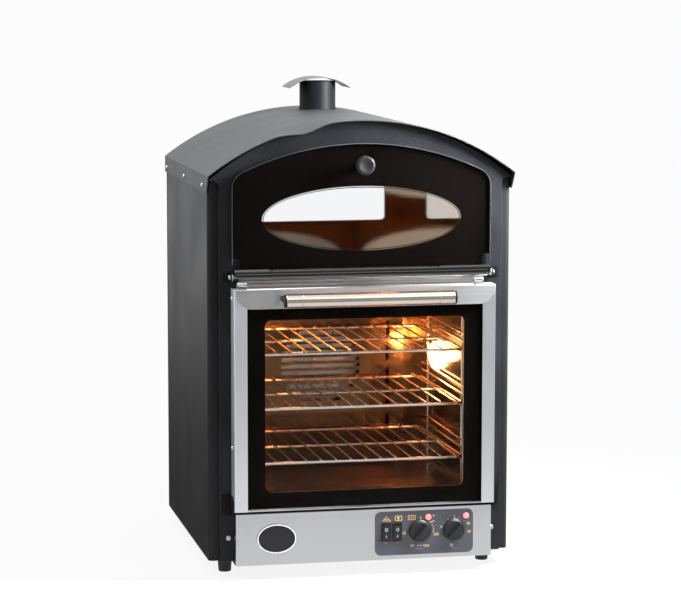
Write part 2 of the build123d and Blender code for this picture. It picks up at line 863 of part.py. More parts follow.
with BuildPart() as rocker_housings:
    for x in rocker_x:
        with BuildSketch(upright(plate_front)):
            with Locations((x, control_row)):
                RectangleRounded(rocker_width, rocker_height, 2)
        extrude(amount=rocker_flange)
        with BuildSketch(upright(panel_face + 20)):
            with Locations((x, control_row)):
                Rectangle(rocker_body_x, rocker_body_z)
        extrude(amount=20 + plate_gauge)
        with BuildSketch(upright(panel_face + 12)):
            with Locations((x, control_row)):
                Rectangle(rocker_body_x - 2.0, rocker_body_z - 1.8)
        extrude(amount=20, mode=Mode.SUBTRACT)
rocker_housings.part.label = "rocker_housings"

rocker_pivot_y = panel_face + 0.5
rocker_tilt = 7.0
rocker_half = 12.3


def rocker_button(x):
    """A rocker with its lower end pressed in, on the pivot inside its housing."""
    with BuildPart() as button:
        with BuildSketch(Plane(origin=(x - 5.7, rocker_pivot_y, control_row), x_dir=(0, 1, 0),
                               z_dir=(1, 0, 0))):
            with Locations(Rotation(0, 0, rocker_tilt)):
                with BuildLine() as edge:
                    Polyline(
                        (3, -rocker_half),
                        (-4.6, -rocker_half),
                        (-5.2, 0),
                        (-4.6, rocker_half),
                        (3, rocker_half),
                        close=True,
                    )
                make_face(edge.edges())
        extrude(amount=11.4)
    return button.part


with BuildPart() as rocker_lights:
    add(rocker_button(rocker_x[0]))
rocker_lights.part.label = "rocker_lights"

with BuildPart() as rocker_fan:
    add(rocker_button(rocker_x[1]))
rocker_fan.part.label = "rocker_fan"

dial_turn = 45.0


def dial_knob(x):
    """A round dial with a grip bar across it, on its shaft."""
    base = plate_front - 1.0
    with BuildPart() as knob:
        with BuildSketch(Plane(origin=(x, base, control_row), x_dir=(1, 0, 0), z_dir=(0, 0, 1))):
            with BuildLine():
                Polyline(
                    (0, 0),
                    (dial_radius - 1.0, 0),
                    (dial_radius, -1.0),
                    (dial_radius, -3.0),
                    (dial_radius - 1.2, -4.0),
                    (dial_radius - 1.9, -7.2),
                    (dial_radius - 2.9, -8.0),
                    (0, -8.0),
                    close=True,
                )
            make_face()
        revolve(axis=Axis((x, base, control_row), (0, 1, 0)))
        with BuildSketch(upright(base - 3)):
            with Locations(Location((x, control_row, 0), (0, 0, 90 - dial_turn))):
                SlotOverall(2 * dial_radius - 3.4, 8.0)
        extrude(amount=15, taper=5)
        with BuildSketch(upright(base + 14)):
            with Locations((x, control_row)):
                Circle(shaft_radius)
        extrude(amount=15)
    return knob.part


with BuildPart() as thermostat_knob:
    add(dial_knob(dial_x[0]))
thermostat_knob.part.label = "thermostat_knob"

with BuildPart() as timer_knob:
    add(dial_knob(dial_x[1]))
timer_knob.part.label = "timer_knob"

with BuildPart() as dial_switches:
    for x in dial_x:
        with Locations((x, panel_face + sheet + 13, control_row - 2)):
            Box(38, 26, 34)
        with Locations(Location((x, panel_face, control_row), (90, 0, 0))):
            Cylinder(shaft_radius + running, 44, mode=Mode.SUBTRACT)
dial_switches.part.label = "dial_switches"

with BuildPart() as pilot_lights:
    for x in pilot_x:
        with BuildSketch(Plane(origin=(x, plate_front + 8, pilot_row), x_dir=(1, 0, 0),
                               z_dir=(0, 0, 1))):
            with BuildLine():
                Polyline((0, -11.5), (0, 0), (pilot_radius, 0), (pilot_radius, -9.0))
                Spline((pilot_radius, -9.0), (0, -11.5), tangents=((0, -1), (-1, 0)))
            make_face()
        revolve(axis=Axis((x, plate_front, pilot_row), (0, 1, 0)))
pilot_lights.part.label = "pilot_lights"

with BuildPart() as badge_plate:
    with BuildSketch(upright(panel_face)):
        with Locations((badge_x, badge_z)):
            Ellipse(badge_long, badge_short)
    extrude(amount=1.6)
    with BuildSketch(upright(panel_face - 1.1)):
        with Locations((badge_x, badge_z)):
            Ellipse(badge_long - 2.2, badge_short - 2.2)
    extrude(amount=1, mode=Mode.SUBTRACT)
badge_plate.part.label = "badge_plate"

# ---------------------------------------------------------------- chimney
with BuildPart() as chimney_pipe:
    collar_radius = flue_radius + 1.0
    with Locations((flue_x, front + flue_place, crown_height - 1)):
        Cylinder(collar_radius, 7)
    with BuildSketch(upright(rear)):
        with Locations((0, crown_height - roof_radius)):
            Circle(roof_radius + 0.05)
    extrude(amount=body_depth, mode=Mode.SUBTRACT)
    with BuildSketch(Plane.XY.offset(crown_height - 11)):
        with Locations((flue_x, front + flue_place)):
            Circle(flue_radius)
    extrude(amount=flue_top - crown_height + 11)
    with BuildSketch(Plane.XY.offset(crown_height - 11)):
        with Locations((flue_x, front + flue_place)):
            Circle(flue_radius - flue_wall)
    extrude(amount=flue_top, mode=Mode.SUBTRACT)
chimney_pipe.part.label = "chimney_pipe"

cap_left = cap_x - cap_half_width
cap_right = cap_x + cap_half_width
cap_gauge = 1.2
with BuildPart() as chimney_cap:
    cap_front = front + flue_place - cap_depth / 2
    cap_rear = front + flue_place + cap_depth / 2
    strap_x = flue_radius - flue_wall - 0.8
    with BuildSketch(upright(cap_rear)):
        with BuildLine():
            for drop in (0, cap_gauge):
                ThreePointArc(
                    (cap_left, cap_tip - drop), (cap_x, cap_crown - drop), (cap_right, cap_tip - drop)
                )
            Line((cap_left, cap_tip), (cap_left, cap_tip - cap_gauge))
            Line((cap_right, cap_tip), (cap_right, cap_tip - cap_gauge))
        make_face()
    extrude(amount=cap_depth)
    for side in (-1, 1):
        with Locations((flue_x + side * (strap_x - 0.6), front + flue_place, flue_top - 12)):
            Box(1.2, 10, 30)
    with BuildSketch(upright(cap_rear)):
        with BuildLine():
            ThreePointArc((cap_left, cap_tip), (cap_x, cap_crown), (cap_right, cap_tip))
            Polyline(
                (cap_left, cap_tip),
                (cap_left, cap_crown + 20),
                (cap_right, cap_crown + 20),
                (cap_right, cap_tip),
            )
        make_face()
    extrude(amount=cap_depth, mode=Mode.SUBTRACT)
chimney_cap.part.label = "chimney_cap"

# ---------------------------------------------------------------- rear fittings
with BuildPart() as cable_gland:
    with BuildSketch(upright(rear)):
        with Locations((gland_x, gland_z)):
            RegularPolygon(13, 6)
    extrude(amount=-5)
    with BuildSketch(upright(rear + 5)):
        with Locations((gland_x, gland_z)):
            Circle(10.5)
    extrude(amount=-(gland_reach - 5))
    fillet(cable_gland.edges().group_by(Axis.Y)[-1], 3)
    with BuildSketch(upright(rear)):
        with Locations((gland_x, gland_z)):
            Circle(8)
    extrude(amount=14)
    with BuildSketch(upright(rear - sheet)):
        with Locations((gland_x, gland_z)):
            RegularPolygon(12, 6)
    extrude(amount=4)
    with Locations(Location((gland_x, rear, gland_z), (90, 0, 0))):
        Cylinder(4, 80, mode=Mode.SUBTRACT)
cable_gland.part.label = "cable_gland"

with BuildPart() as cabinet_screws:
    for side in (-1, 1):
        for along_y in (36.0, 235.5, 442.0):
            start = side * (half_width - 4)
            with BuildSketch(Plane(origin=(side * roof_half_width, front + along_y, 646.8),
                                   x_dir=(0, 1, 0), z_dir=(0, 0, -side))):
                dome_head(3.8, 2.2)
            revolve(axis=Axis((0, front + along_y, 646.8), (1, 0, 0)))
            with BuildSketch(Plane(origin=(start, front + along_y, 646.8), x_dir=(0, 1, 0),
                                   z_dir=(side, 0, 0))):
                Circle(2.0)
            extrude(amount=roof_half_width - half_width + 4.5)
        with BuildSketch(Plane(origin=(side * 224, fascia_front, 66.5), x_dir=(1, 0, 0),
                               z_dir=(0, 0, -1))):
            dome_head(4.2, 3.0)
        revolve(axis=Axis((side * 224, fascia_front, 66.5), (0, 1, 0)))
cabinet_screws.part.label = "cabinet_screws"

# ---------------------------------------------------------------- lower door
door_pivot_y = front - door_pivot_reach
hinge_gauge = 1.5
hinge_x = door_half_width + 0.4
pin_radius = 3.0
with BuildPart() as lower_hinge_plates:
    for side in (-1, 1):
        near = min(side * hinge_x, side * (hinge_x + hinge_gauge))
        with BuildSketch(sideways(near)):
            with BuildLine():
                Line((fascia_front, 106), (door_pivot_y + 4, 106))
                ThreePointArc((door_pivot_y + 4, 106), (door_pivot_y - 8, 118), (door_pivot_y - 8, 132))
                ThreePointArc(
                    (door_pivot_y - 8, 132), (door_pivot_y, 140), (door_pivot_y + 8, 139.5)
                )
                Line((door_pivot_y + 8, 139.5), (fascia_front, 139.5))
                Line((fascia_front, 139.5), (fascia_front, 106))
            make_face()
        extrude(amount=hinge_gauge)
        foot_near = min(side * hinge_x, side * (leg_x - 2.5))
        with BuildSketch(upright(fascia_front)):
            with Locations((foot_near, 106)):
                Rectangle(
                    leg_x - 2.5 - hinge_x, 33.5, align=(Align.MIN, Align.MIN)
                )
        extrude(amount=hinge_gauge)
        pin_start = side * (door_half_width - 4)
        with BuildSketch(Plane(origin=(pin_start, door_pivot_y, door_pivot_height),
                               x_dir=(0, 1, 0), z_dir=(side, 0, 0))):
            Circle(pin_radius)
        extrude(amount=6)
        with BuildSketch(Plane(origin=(side * (hinge_x + hinge_gauge), door_pivot_y, door_pivot_height),
                               x_dir=(0, 1, 0), z_dir=(0, 0, -side))):
            dome_head(4.6, 2.6)
        revolve(axis=Axis((0, door_pivot_y, door_pivot_height), (1, 0, 0)))
lower_hinge_plates.part.label = "lower_hinge_plates"

stile_back = door_face + sheet
inner_frame_front = door_rear - 5.6
opening_x = 172.0
opening_low = 141.0
opening_high = 436.0
with BuildPart() as door_frame:
    # front stiles with their side returns
    for side in (-1, 1):
        with BuildSketch(Plane.XY.offset(door_bottom)):
            folded(
                [
                    (side * (door_half_width - stile_width), door_face),
                    (side * door_half_width, door_face),
                    (side * door_half_width, door_rear),
                    (side * (door_half_width - 14), door_rear),
                ],
                sheet,
                Side.LEFT if side > 0 else Side.RIGHT,
                2.0,
            )
        extrude(amount=door_top - door_bottom)
    # rear frame round the window
    with BuildSketch(upright(door_rear)):
        with Locations((0, (door_bottom + door_top) / 2)):
            Rectangle(2 * (door_half_width - 6), door_top - door_bottom)
        with Locations((0, (opening_low + opening_high) / 2)):
            RectangleRounded(2 * opening_x, opening_high - opening_low, 8, mode=Mode.SUBTRACT)
    extrude(amount=sheet)
    # a lip that holds the inner glass
    with BuildSketch(upright(door_rear)):
        with Locations((0, (opening_low + opening_high) / 2)):
            RectangleRounded(2 * opening_x + 2 * sheet, opening_high - opening_low + 2 * sheet, 9.2)
            RectangleRounded(2 * opening_x, opening_high - opening_low, 8, mode=Mode.SUBTRACT)
    extrude(amount=5.6)
    # top and bottom returns
    with BuildSketch(Plane.XY.offset(door_top - sheet)):
        with Locations((0, (door_face + door_rear) / 2 + 0.3)):
            Rectangle(2 * (door_half_width - 0.6), door_thickness - 0.6)
        with Locations((0, door_face + 22)):
            with GridLocations(30, 0, 11, 1):
                SlotOverall(18, 3.2, mode=Mode.SUBTRACT)
    extrude(amount=sheet)
    with BuildSketch(Plane.XY.offset(door_bottom)):
        with Locations((0, (stile_back + door_rear) / 2)):
            Rectangle(2 * (door_half_width - 0.6), door_rear - stile_back)
    extrude(amount=sheet)
    # the lower rear edge is rounded about the pivot
    with BuildSketch(sideways(-door_half_width - 1)):
        with Locations((door_pivot_y, door_pivot_height)):
            Rectangle(60, 60, align=(Align.MIN, Align.MAX))
            Circle(door_swing_radius, mode=Mode.SUBTRACT)
    extrude(amount=2 * door_half_width + 2, mode=Mode.SUBTRACT)
    with Locations(Location((0, door_pivot_y, door_pivot_height), (0, 90, 0))):
        Cylinder(pin_radius + running, 2 * door_half_width + 2, mode=Mode.SUBTRACT)
door_frame.part.label = "door_frame"

outer_glass_front = stile_back
outer_glass_x = door_half_width - sheet - 5.0
outer_glass_low = door_bottom + 3.0
outer_glass_high = door_top - sheet - 1.0
outer_glass_gauge = 5.0
with BuildPart() as door_outer_glass:
    with BuildSketch(upright(outer_glass_front + outer_glass_gauge)):
        with Locations((0, (outer_glass_low + outer_glass_high) / 2)):
            Rectangle(2 * outer_glass_x, outer_glass_high - outer_glass_low)
    extrude(amount=outer_glass_gauge)
door_outer_glass.part.label = "door_outer_glass"

with BuildPart() as door_glass_print:
    with BuildSketch(upright(outer_glass_front + outer_glass_gauge + print_thickness)):
        with Locations((0, (outer_glass_low + outer_glass_high) / 2)):
            Rectangle(2 * outer_glass_x, outer_glass_high - outer_glass_low)
        with Locations((0, (window_z_low + window_z_high) / 2)):
            RectangleRounded(
                2 * window_x, window_z_high - window_z_low, window_corner, mode=Mode.SUBTRACT
            )
    extrude(amount=print_thickness)
door_glass_print.part.label = "door_glass_print"

with BuildPart() as door_inner_glass:
    with BuildSketch(upright(inner_frame_front)):
        with Locations((0, (opening_low + opening_high) / 2)):
            RectangleRounded(2 * opening_x + 16, opening_high - opening_low + 16, 12)
    extrude(amount=4.0)
door_inner_glass.part.label = "door_inner_glass"

bar_x = door_half_width - 2.0
bar_low = door_top - bar_height
with BuildPart() as door_top_bar:
    with BuildSketch(upright(door_face)) as bar_sketch:
        with Locations((0, (door_top + bar_low) / 2)):
            Rectangle(2 * bar_x, bar_height)
        fillet(bar_sketch.vertices().group_by(Axis.Y)[0], bar_corner)
    extrude(amount=bar_gauge)
    fillet(door_top_bar.faces().sort_by(Axis.Y)[0].edges(), 0.6)
door_top_bar.part.label = "door_top_bar"

handle_y = front - handle_reach
groove_x = handle_length / 2 - 27.0
with BuildPart() as door_handle:
    with BuildSketch(Plane(origin=(0, handle_y, handle_height), x_dir=(1, 0, 0), z_dir=(0, 1, 0))):
        end = handle_length / 2
        with BuildLine():
            Polyline(
                (-end, 0),
                (-end, -handle_radius + 1.5),
                (-end + 1.5, -handle_radius),
                (-groove_x - 0.8, -handle_radius),
                (-groove_x, -handle_radius + 0.8),
                (-groove_x + 0.8, -handle_radius),
                (groove_x - 0.8, -handle_radius),
                (groove_x, -handle_radius + 0.8),
                (groove_x + 0.8, -handle_radius),
                (end - 1.5, -handle_radius),
                (end, -handle_radius + 1.5),
                (end, 0),
                close=True,
            )
        make_face()
    revolve(axis=Axis((0, handle_y, handle_height), (1, 0, 0)))
    with Locations(Location((0, handle_y, handle_height), (0, 90, 0))):
        Cylinder(handle_radius - 2, 2 * groove_x - 6, mode=Mode.SUBTRACT)
door_handle.part.label = "door_handle"

bracket_gauge = 2.0
bracket_face = door_face - bar_gauge
arm_half = 3.6
bracket_foot = 9.0
with BuildPart() as handle_brackets:
    for side in (-1, 1):
        inner = side * handle_length / 2
        outer = inner + side * bracket_gauge
        with BuildSketch(sideways(min(inner, outer))):
            with Locations((handle_y, handle_height)):
                Circle(handle_radius - 0.6)
            with BuildLine():
                Polyline(
                    (handle_y, handle_height + 7),
                    (handle_y + 12, handle_height + arm_half + 1),
                    (bracket_face, handle_height + arm_half + 1),
                    (bracket_face, handle_height - arm_half + 1),
                    (handle_y + 12, handle_height - arm_half),
                    (handle_y, handle_height - 7),
                    close=True,
                )
            make_face()
        extrude(amount=bracket_gauge)
        foot_near = min(outer, outer - side * bracket_foot)
        with BuildSketch(upright(bracket_face)):
            with Locations((foot_near, handle_height - arm_half + 1)):
                Rectangle(bracket_foot, 2 * arm_half, align=(Align.MIN, Align.MIN))
        extrude(amount=bracket_gauge)
handle_brackets.part.label = "handle_brackets"

roller_places = (-205.4, 190.8)
roller_half = 6.6
roller_y = door_face + 5.4
roller_z = door_top + 8.6
with BuildPart() as roller_brackets:
    for x in roller_places:
        with Locations((x, roller_y, door_top)):
            Box(2 * roller_half + 2, 8, 1.2, align=(Align.CENTER, Align.CENTER, Align.MIN))
        for side in (-1, 1):
            with BuildSketch(sideways(x + side * roller_half - 0.6 + side * 0.4)):
                with Locations((roller_y, door_top)):
                    Rectangle(8, roller_z - door_top, align=(Align.CENTER, Align.MIN))
                with Locations((roller_y, roller_z)):
                    Circle(4.6)
            extrude(amount=1.2)
        with Locations(Location((x, roller_y, roller_z), (0, 90, 0))):
            Cylinder(1.5, 2 * roller_half + 4)
roller_brackets.part.label = "roller_brackets"


def catch_roller(x):
    """A small roller, free on its pin."""
    with BuildPart() as roller:
        with Locations(Location((x, roller_y, roller_z), (0, 90, 0))):
            Cylinder(4.2, 2 * roller_half - 1.4)
            Cylinder(1.5 + running, 2 * roller_half, mode=Mode.SUBTRACT)
        fillet(roller.edges().filter_by(GeomType.CIRCLE).group_by(SortBy.RADIUS)[-1], 0.8)
    return roller.part


with BuildPart() as roller_left:
    add(catch_roller(roller_places[0]))
roller_left.part.label = "roller_left"

with BuildPart() as roller_right:
    add(catch_roller(roller_places[1]))
roller_right.part.label = "roller_right"

with BuildPart() as door_screws:
    for side in (-1, 1):
        for z in (220.0, 466.0):
            with BuildSketch(Plane(origin=(side * door_half_width, door_rear - 12, z),
                                   x_dir=(0, 1, 0), z_dir=(0, 0, -side))):
                dome_head(3.4, 2.2)
            revolve(axis=Axis((0, door_rear - 12, z), (1, 0, 0)))
door_screws.part.label = "door_screws"

# ---------------------------------------------------------------- display flap
glass_notch = 13.0
flap_pin_radius = 2.5
flap_pivot_y = front - flap_pivot_reach
glass_face = front - glass_front
with BuildPart() as flap_glass:
    with BuildSketch(upright(glass_face + glass_thickness)):
        arched_face(glass_half_width, rail_bottom + 2.0, glass_crown, glass_corner)
        with Locations((0, knob_height)):
            Circle(4.2, mode=Mode.SUBTRACT)
        with Locations((-glass_half_width, rail_top), (glass_half_width, rail_top)):
            Rectangle(2 * glass_notch, 2 * (rail_top - rail_bottom), mode=Mode.SUBTRACT)
    extrude(amount=glass_thickness)
flap_glass.part.label = "flap_glass"

with BuildPart() as flap_glass_print:
    with BuildSketch(upright(glass_face + glass_thickness + print_thickness)):
        arched_face(
            glass_half_width - print_margin, rail_top - 6, glass_crown - print_margin, glass_corner
        )
        with Locations((0, ellipse_height)):
            Ellipse(ellipse_long, ellipse_short, mode=Mode.SUBTRACT)
            Ellipse(ellipse_long - ellipse_slit, ellipse_short - ellipse_slit)
            inner_edge = ellipse_slit + ellipse_band
            Ellipse(ellipse_long - inner_edge, ellipse_short - inner_edge, mode=Mode.SUBTRACT)
        with Locations((0, knob_height)):
            Circle(8, mode=Mode.SUBTRACT)
        with Locations((-glass_half_width, rail_top), (glass_half_width, rail_top)):
            Rectangle(2 * glass_notch, 2 * (rail_top - rail_bottom), mode=Mode.SUBTRACT)
    extrude(amount=print_thickness)
flap_glass_print.part.label = "flap_glass_print"

with BuildPart() as flap_rail:
    glass_back = glass_face + glass_thickness
    lip_front = glass_face - 8.0
    bead_top = rail_bottom + 4.2
    bead_reach = 3.2
    face_hollow = 1.2
    with BuildSketch(sideways(-rail_half_width)):
        with BuildLine():
            Polyline(
                (lip_front, rail_bottom),
                (glass_back + sheet, rail_bottom),
                (glass_back + sheet, rail_top - 6),
                (glass_back, rail_top - 6),
                (glass_back, rail_bottom + 2.0),
                (lip_front + 2.6, rail_bottom + 2.0),
                (lip_front + 2.6, rail_top - sheet),
                (glass_face, rail_top - sheet),
                (glass_face, rail_top),
                (lip_front, rail_top),
            )
            ThreePointArc(
                (lip_front, rail_top),
                (lip_front + face_hollow, (rail_top + bead_top) / 2),
                (lip_front, bead_top),
            )
            ThreePointArc(
                (lip_front, bead_top),
                (lip_front - bead_reach, (bead_top + rail_bottom) / 2),
                (lip_front, rail_bottom),
            )
        make_face()
    extrude(amount=2 * rail_half_width)
    # slanted ends
    for side in (-1, 1):
        with BuildSketch(upright(front)):
            with BuildLine():
                Polyline(
                    (side * rail_half_width, rail_top - sheet),
                    (side * (rail_half_width - rail_end_slant), rail_bottom),
                    (side * rail_half_width, rail_bottom),
                    close=True,
                )
            make_face()
        extrude(amount=60, mode=Mode.SUBTRACT)
    # plates closing the ends, which carry the pivots
    for side in (-1, 1):
        with BuildSketch(sideways(min(side * (rail_half_width - 1.5), side * rail_half_width))) as end:
            with BuildLine():
                Polyline(
                    (glass_back + sheet, rail_bottom),
                    (glass_back + sheet, rail_top - 6),
                    (glass_face, rail_top),
                    (lip_front, rail_top),
                    (lip_front, rail_bottom),
                    close=True,
                )
            make_face()
            fillet(end.vertices().group_by(Axis.X)[0], 5.0)
        extrude(amount=1.5)
    with Locations(Location((0, flap_pivot_y, flap_pivot_height), (0, 90, 0))):
        Cylinder(flap_pin_radius + running, 2 * rail_half_width, mode=Mode.SUBTRACT)
flap_rail.part.label = "flap_rail"

with BuildPart() as flap_knob:
    with BuildSketch(Plane(origin=(0, glass_face, knob_height), x_dir=(1, 0, 0), z_dir=(0, 0, 1))):
        with BuildLine():
            Polyline(
                (0, 8),
                (4, 8),
                (4, 0),
                (8.5, 0),
                (8.5, -10),
                (knob_radius, -14),
                (knob_radius, -20),
            )
            ThreePointArc((knob_radius, -20), (knob_radius - 1.4, -23.4), (knob_radius - 5, -24.4))
            Line((knob_radius - 5, -24.4), (knob_radius - 5.6, -24.4))
            Spline(
                (knob_radius - 5.6, -24.4),
                (0, -24.4 + knob_dish),
                tangents=((-1, 0.25), (-1, 0)),
            )
            Line((0, -24.4 + knob_dish), (0, 8))
        make_face()
    revolve(axis=Axis((0, 0, knob_height), (0, 1, 0)))
flap_knob.part.label = "flap_knob"

washer_gauge = 1.5
washer_radius = 6.7
washer_x = rail_half_width + 2.2
bracket_x = washer_x + washer_gauge + 0.7
bracket_round = 8.6
with BuildPart() as flap_pivot_brackets:
    low = flap_pivot_height - bracket_round
    high = flap_pivot_height + bracket_round
    for side in (-1, 1):
        near = min(side * bracket_x, side * (bracket_x + 1.5))
        with BuildSketch(sideways(near)):
            with BuildLine():
                Polyline((flap_pivot_y, low), (fascia_front, low), (fascia_front, high), (flap_pivot_y, high))
                ThreePointArc(
                    (flap_pivot_y, high),
                    (flap_pivot_y - bracket_round, flap_pivot_height),
                    (flap_pivot_y, low),
                )
            make_face()
            with Locations((flap_pivot_y, flap_pivot_height)):
                Circle(flap_pin_radius, mode=Mode.SUBTRACT)
        extrude(amount=1.5)
        foot_near = min(side * bracket_x, side * (bracket_x + 13))
        with BuildSketch(upright(fascia_front)):
            with Locations((foot_near, flap_pivot_height - bracket_round)):
                Rectangle(13, 2 * bracket_round, align=(Align.MIN, Align.MIN))
        extrude(amount=1.5)
flap_pivot_brackets.part.label = "flap_pivot_brackets"

with BuildPart() as flap_pivot_screws:
    for side in (-1, 1):
        head_x = bracket_x + 1.5
        with BuildSketch(Plane(origin=(side * head_x, flap_pivot_y, flap_pivot_height),
                               x_dir=(0, 1, 0), z_dir=(0, 0, -side))):
            dome_head(4.2, 3.4)
        revolve(axis=Axis((0, flap_pivot_y, flap_pivot_height), (1, 0, 0)))
        with BuildSketch(Plane(origin=(side * (rail_half_width - 7.5), flap_pivot_y, flap_pivot_height),
                               x_dir=(0, 1, 0), z_dir=(side, 0, 0))):
            Circle(flap_pin_radius)
        extrude(amount=head_x + 0.5 - rail_half_width + 7.5)
        with BuildSketch(Plane(origin=(side * washer_x, flap_pivot_y, flap_pivot_height),
                               x_dir=(0, 1, 0), z_dir=(side, 0, 0))):
            Circle(washer_radius)
        extrude(amount=washer_gauge)
flap_pivot_screws.part.label = "flap_pivot_screws"

sub_parts = [
    roof_sheet, left_side_panel, right_side_panel, base_pan, feet, rear_panel, front_fascia,
    centre_rail, oven_cavity, cavity_insulation, fan_baffle, heating_element, fan_motor,
    fan_impeller, rack_bottom, rack_middle, rack_top, runner_left, runner_right, oven_lamp_lens,
    oven_lamp_holder, door_seal, display_chamber, rear_window_seal, rear_window_glass,
    display_lamp_holder, display_lamp_bulb, control_panel, control_plate, rocker_housings,
    rocker_lights, rocker_fan, thermostat_knob, timer_knob, dial_switches, pilot_lights,
    badge_plate, chimney_pipe, chimney_cap, cable_gland, cabinet_screws, lower_hinge_plates,
    door_frame, door_outer_glass, door_glass_print, door_inner_glass, door_top_bar, door_handle,
    handle_brackets, roller_brackets, roller_left, roller_right, door_screws, flap_glass,
    flap_glass_print, flap_rail, flap_knob, flap_pivot_brackets, flap_pivot_screws,
]
for sub_part in sub_parts:
    export_step(sub_part.part, "parts/" + sub_part.part.label + ".step")
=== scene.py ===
import math

import bmesh
import bpy
from mathutils import Matrix, Vector
from mathutils.bvhtree import BVHTree


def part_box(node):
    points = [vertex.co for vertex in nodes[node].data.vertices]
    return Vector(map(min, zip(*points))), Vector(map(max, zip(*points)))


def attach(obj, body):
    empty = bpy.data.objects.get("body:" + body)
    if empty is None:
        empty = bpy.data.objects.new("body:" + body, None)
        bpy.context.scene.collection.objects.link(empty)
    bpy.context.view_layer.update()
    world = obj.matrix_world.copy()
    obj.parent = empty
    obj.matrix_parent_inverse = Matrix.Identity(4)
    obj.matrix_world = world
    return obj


# Baked potato oven: materials, printed details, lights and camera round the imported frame.
# Metres, +X right, +Y to the back, +Z up. FRONT is the plane of the side panels' front strips.

MM = 0.001
FRONT = -195.5 * MM

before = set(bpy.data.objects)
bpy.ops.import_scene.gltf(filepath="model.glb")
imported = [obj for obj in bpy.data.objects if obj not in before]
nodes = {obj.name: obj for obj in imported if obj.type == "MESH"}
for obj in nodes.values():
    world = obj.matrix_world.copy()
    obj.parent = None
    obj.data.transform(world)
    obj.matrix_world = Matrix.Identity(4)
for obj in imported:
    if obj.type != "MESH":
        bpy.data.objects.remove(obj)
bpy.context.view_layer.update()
scene = bpy.context.scene


# ---------------------------------------------------------------- materials
# the part of the noise's range that colours and numbers are spread over
NOISE_LOW, NOISE_HIGH = 0.3, 0.7

# waves of noise in a metre along X, Y and Z
ALONG_X = (6, 700, 700)
ALONG_Z = (700, 700, 6)
ROLLED = (3, 60, 60)
MOTTLED = (14, 14, 14)

BRUSH_HEIGHT = 0.03 * MM
# the part of a full turn that lays a highlight along X or Z
HIGHLIGHT_TURN = {"X": 0.0, "Z": 0.25}


def shader(name):
    """A new material, its node tree and that tree's Principled shader."""
    material = bpy.data.materials.new(name)
    material.use_nodes = True
    return material, material.node_tree, material.node_tree.nodes["Principled BSDF"]


def link(tree, output, socket):
    """Joins an output to a socket of the same tree."""
    tree.links.new(output, socket)


def arithmetic(tree, operation, a, b=0.0):
    """A sum, product or the like of two numbers or outputs."""
    node = tree.nodes.new("ShaderNodeMath")
    node.operation = operation
    for socket, value in zip(node.inputs, (a, b)):
        if isinstance(value, (int, float)):
            socket.default_value = value
        else:
            link(tree, value, socket)
    return node.outputs["Value"]


def noise(tree, scale, stretch=(1, 1, 1), detail=3.0, rough=0.5):
    """Noise over the object's own coordinates, in metres, stretched along an axis."""
    coords = tree.nodes.new("ShaderNodeTexCoord")
    mapping = tree.nodes.new("ShaderNodeMapping")
    mapping.inputs["Scale"].default_value = stretch
    texture = tree.nodes.new("ShaderNodeTexNoise")
    texture.inputs["Scale"].default_value = scale
    texture.inputs["Detail"].default_value = detail
    texture.inputs["Roughness"].default_value = rough
    link(tree, coords.outputs["Object"], mapping.inputs["Vector"])
    link(tree, mapping.outputs["Vector"], texture.inputs["Vector"])
    return texture.outputs["Fac"]


def spread(tree, value, low, high):
    """The noise value mapped to a range of plain numbers."""
    ramp = tree.nodes.new("ShaderNodeMapRange")
    ramp.inputs["From Min"].default_value = NOISE_LOW
    ramp.inputs["From Max"].default_value = NOISE_HIGH
    ramp.inputs["To Min"].default_value = low
    ramp.inputs["To Max"].default_value = high
    link(tree, value, ramp.inputs["Value"])
    return ramp.outputs["Result"]


def tint(tree, value, low, high):
    """The noise value mapped to a range between two colours."""
    ramp = tree.nodes.new("ShaderNodeValToRGB")
    for element, position, colour in zip(
        ramp.color_ramp.elements, (NOISE_LOW, NOISE_HIGH), (low, high)
    ):
        element.position = position
        element.color = (*colour, 1)
    link(tree, value, ramp.inputs["Fac"])
    return ramp.outputs["Color"]


def bump(tree, bsdf, value, strength, height):
    """A raised grain from a noise value."""
    node = tree.nodes.new("ShaderNodeBump")
    node.inputs["Strength"].default_value = strength
    node.inputs["Distance"].default_value = height
    link(tree, value, node.inputs["Height"])
    link(tree, node.outputs["Normal"], bsdf.inputs["Normal"])


def enamel(
    name, low, high, rough, grain=900.0, height=0.12 * MM, strength=0.35, specular=0.5, sheen=0.0
):
    """Powder-coated sheet: a fine orange-peel grain and slightly cloudy gloss."""
    material, tree, bsdf = shader(name)
    grains = noise(tree, scale=grain, detail=2.0)
    clouds = noise(tree, scale=9.0, detail=4.0)
    link(tree, tint(tree, clouds, low, high), bsdf.inputs["Base Color"])
    link(tree, spread(tree, clouds, rough - 0.05, rough + 0.06), bsdf.inputs["Roughness"])
    bsdf.inputs["Specular IOR Level"].default_value = specular
    bsdf.inputs["Sheen Weight"].default_value = sheen
    bsdf.inputs["Sheen Roughness"].default_value = 0.4
    bump(tree, bsdf, grains, strength, height)
    return material


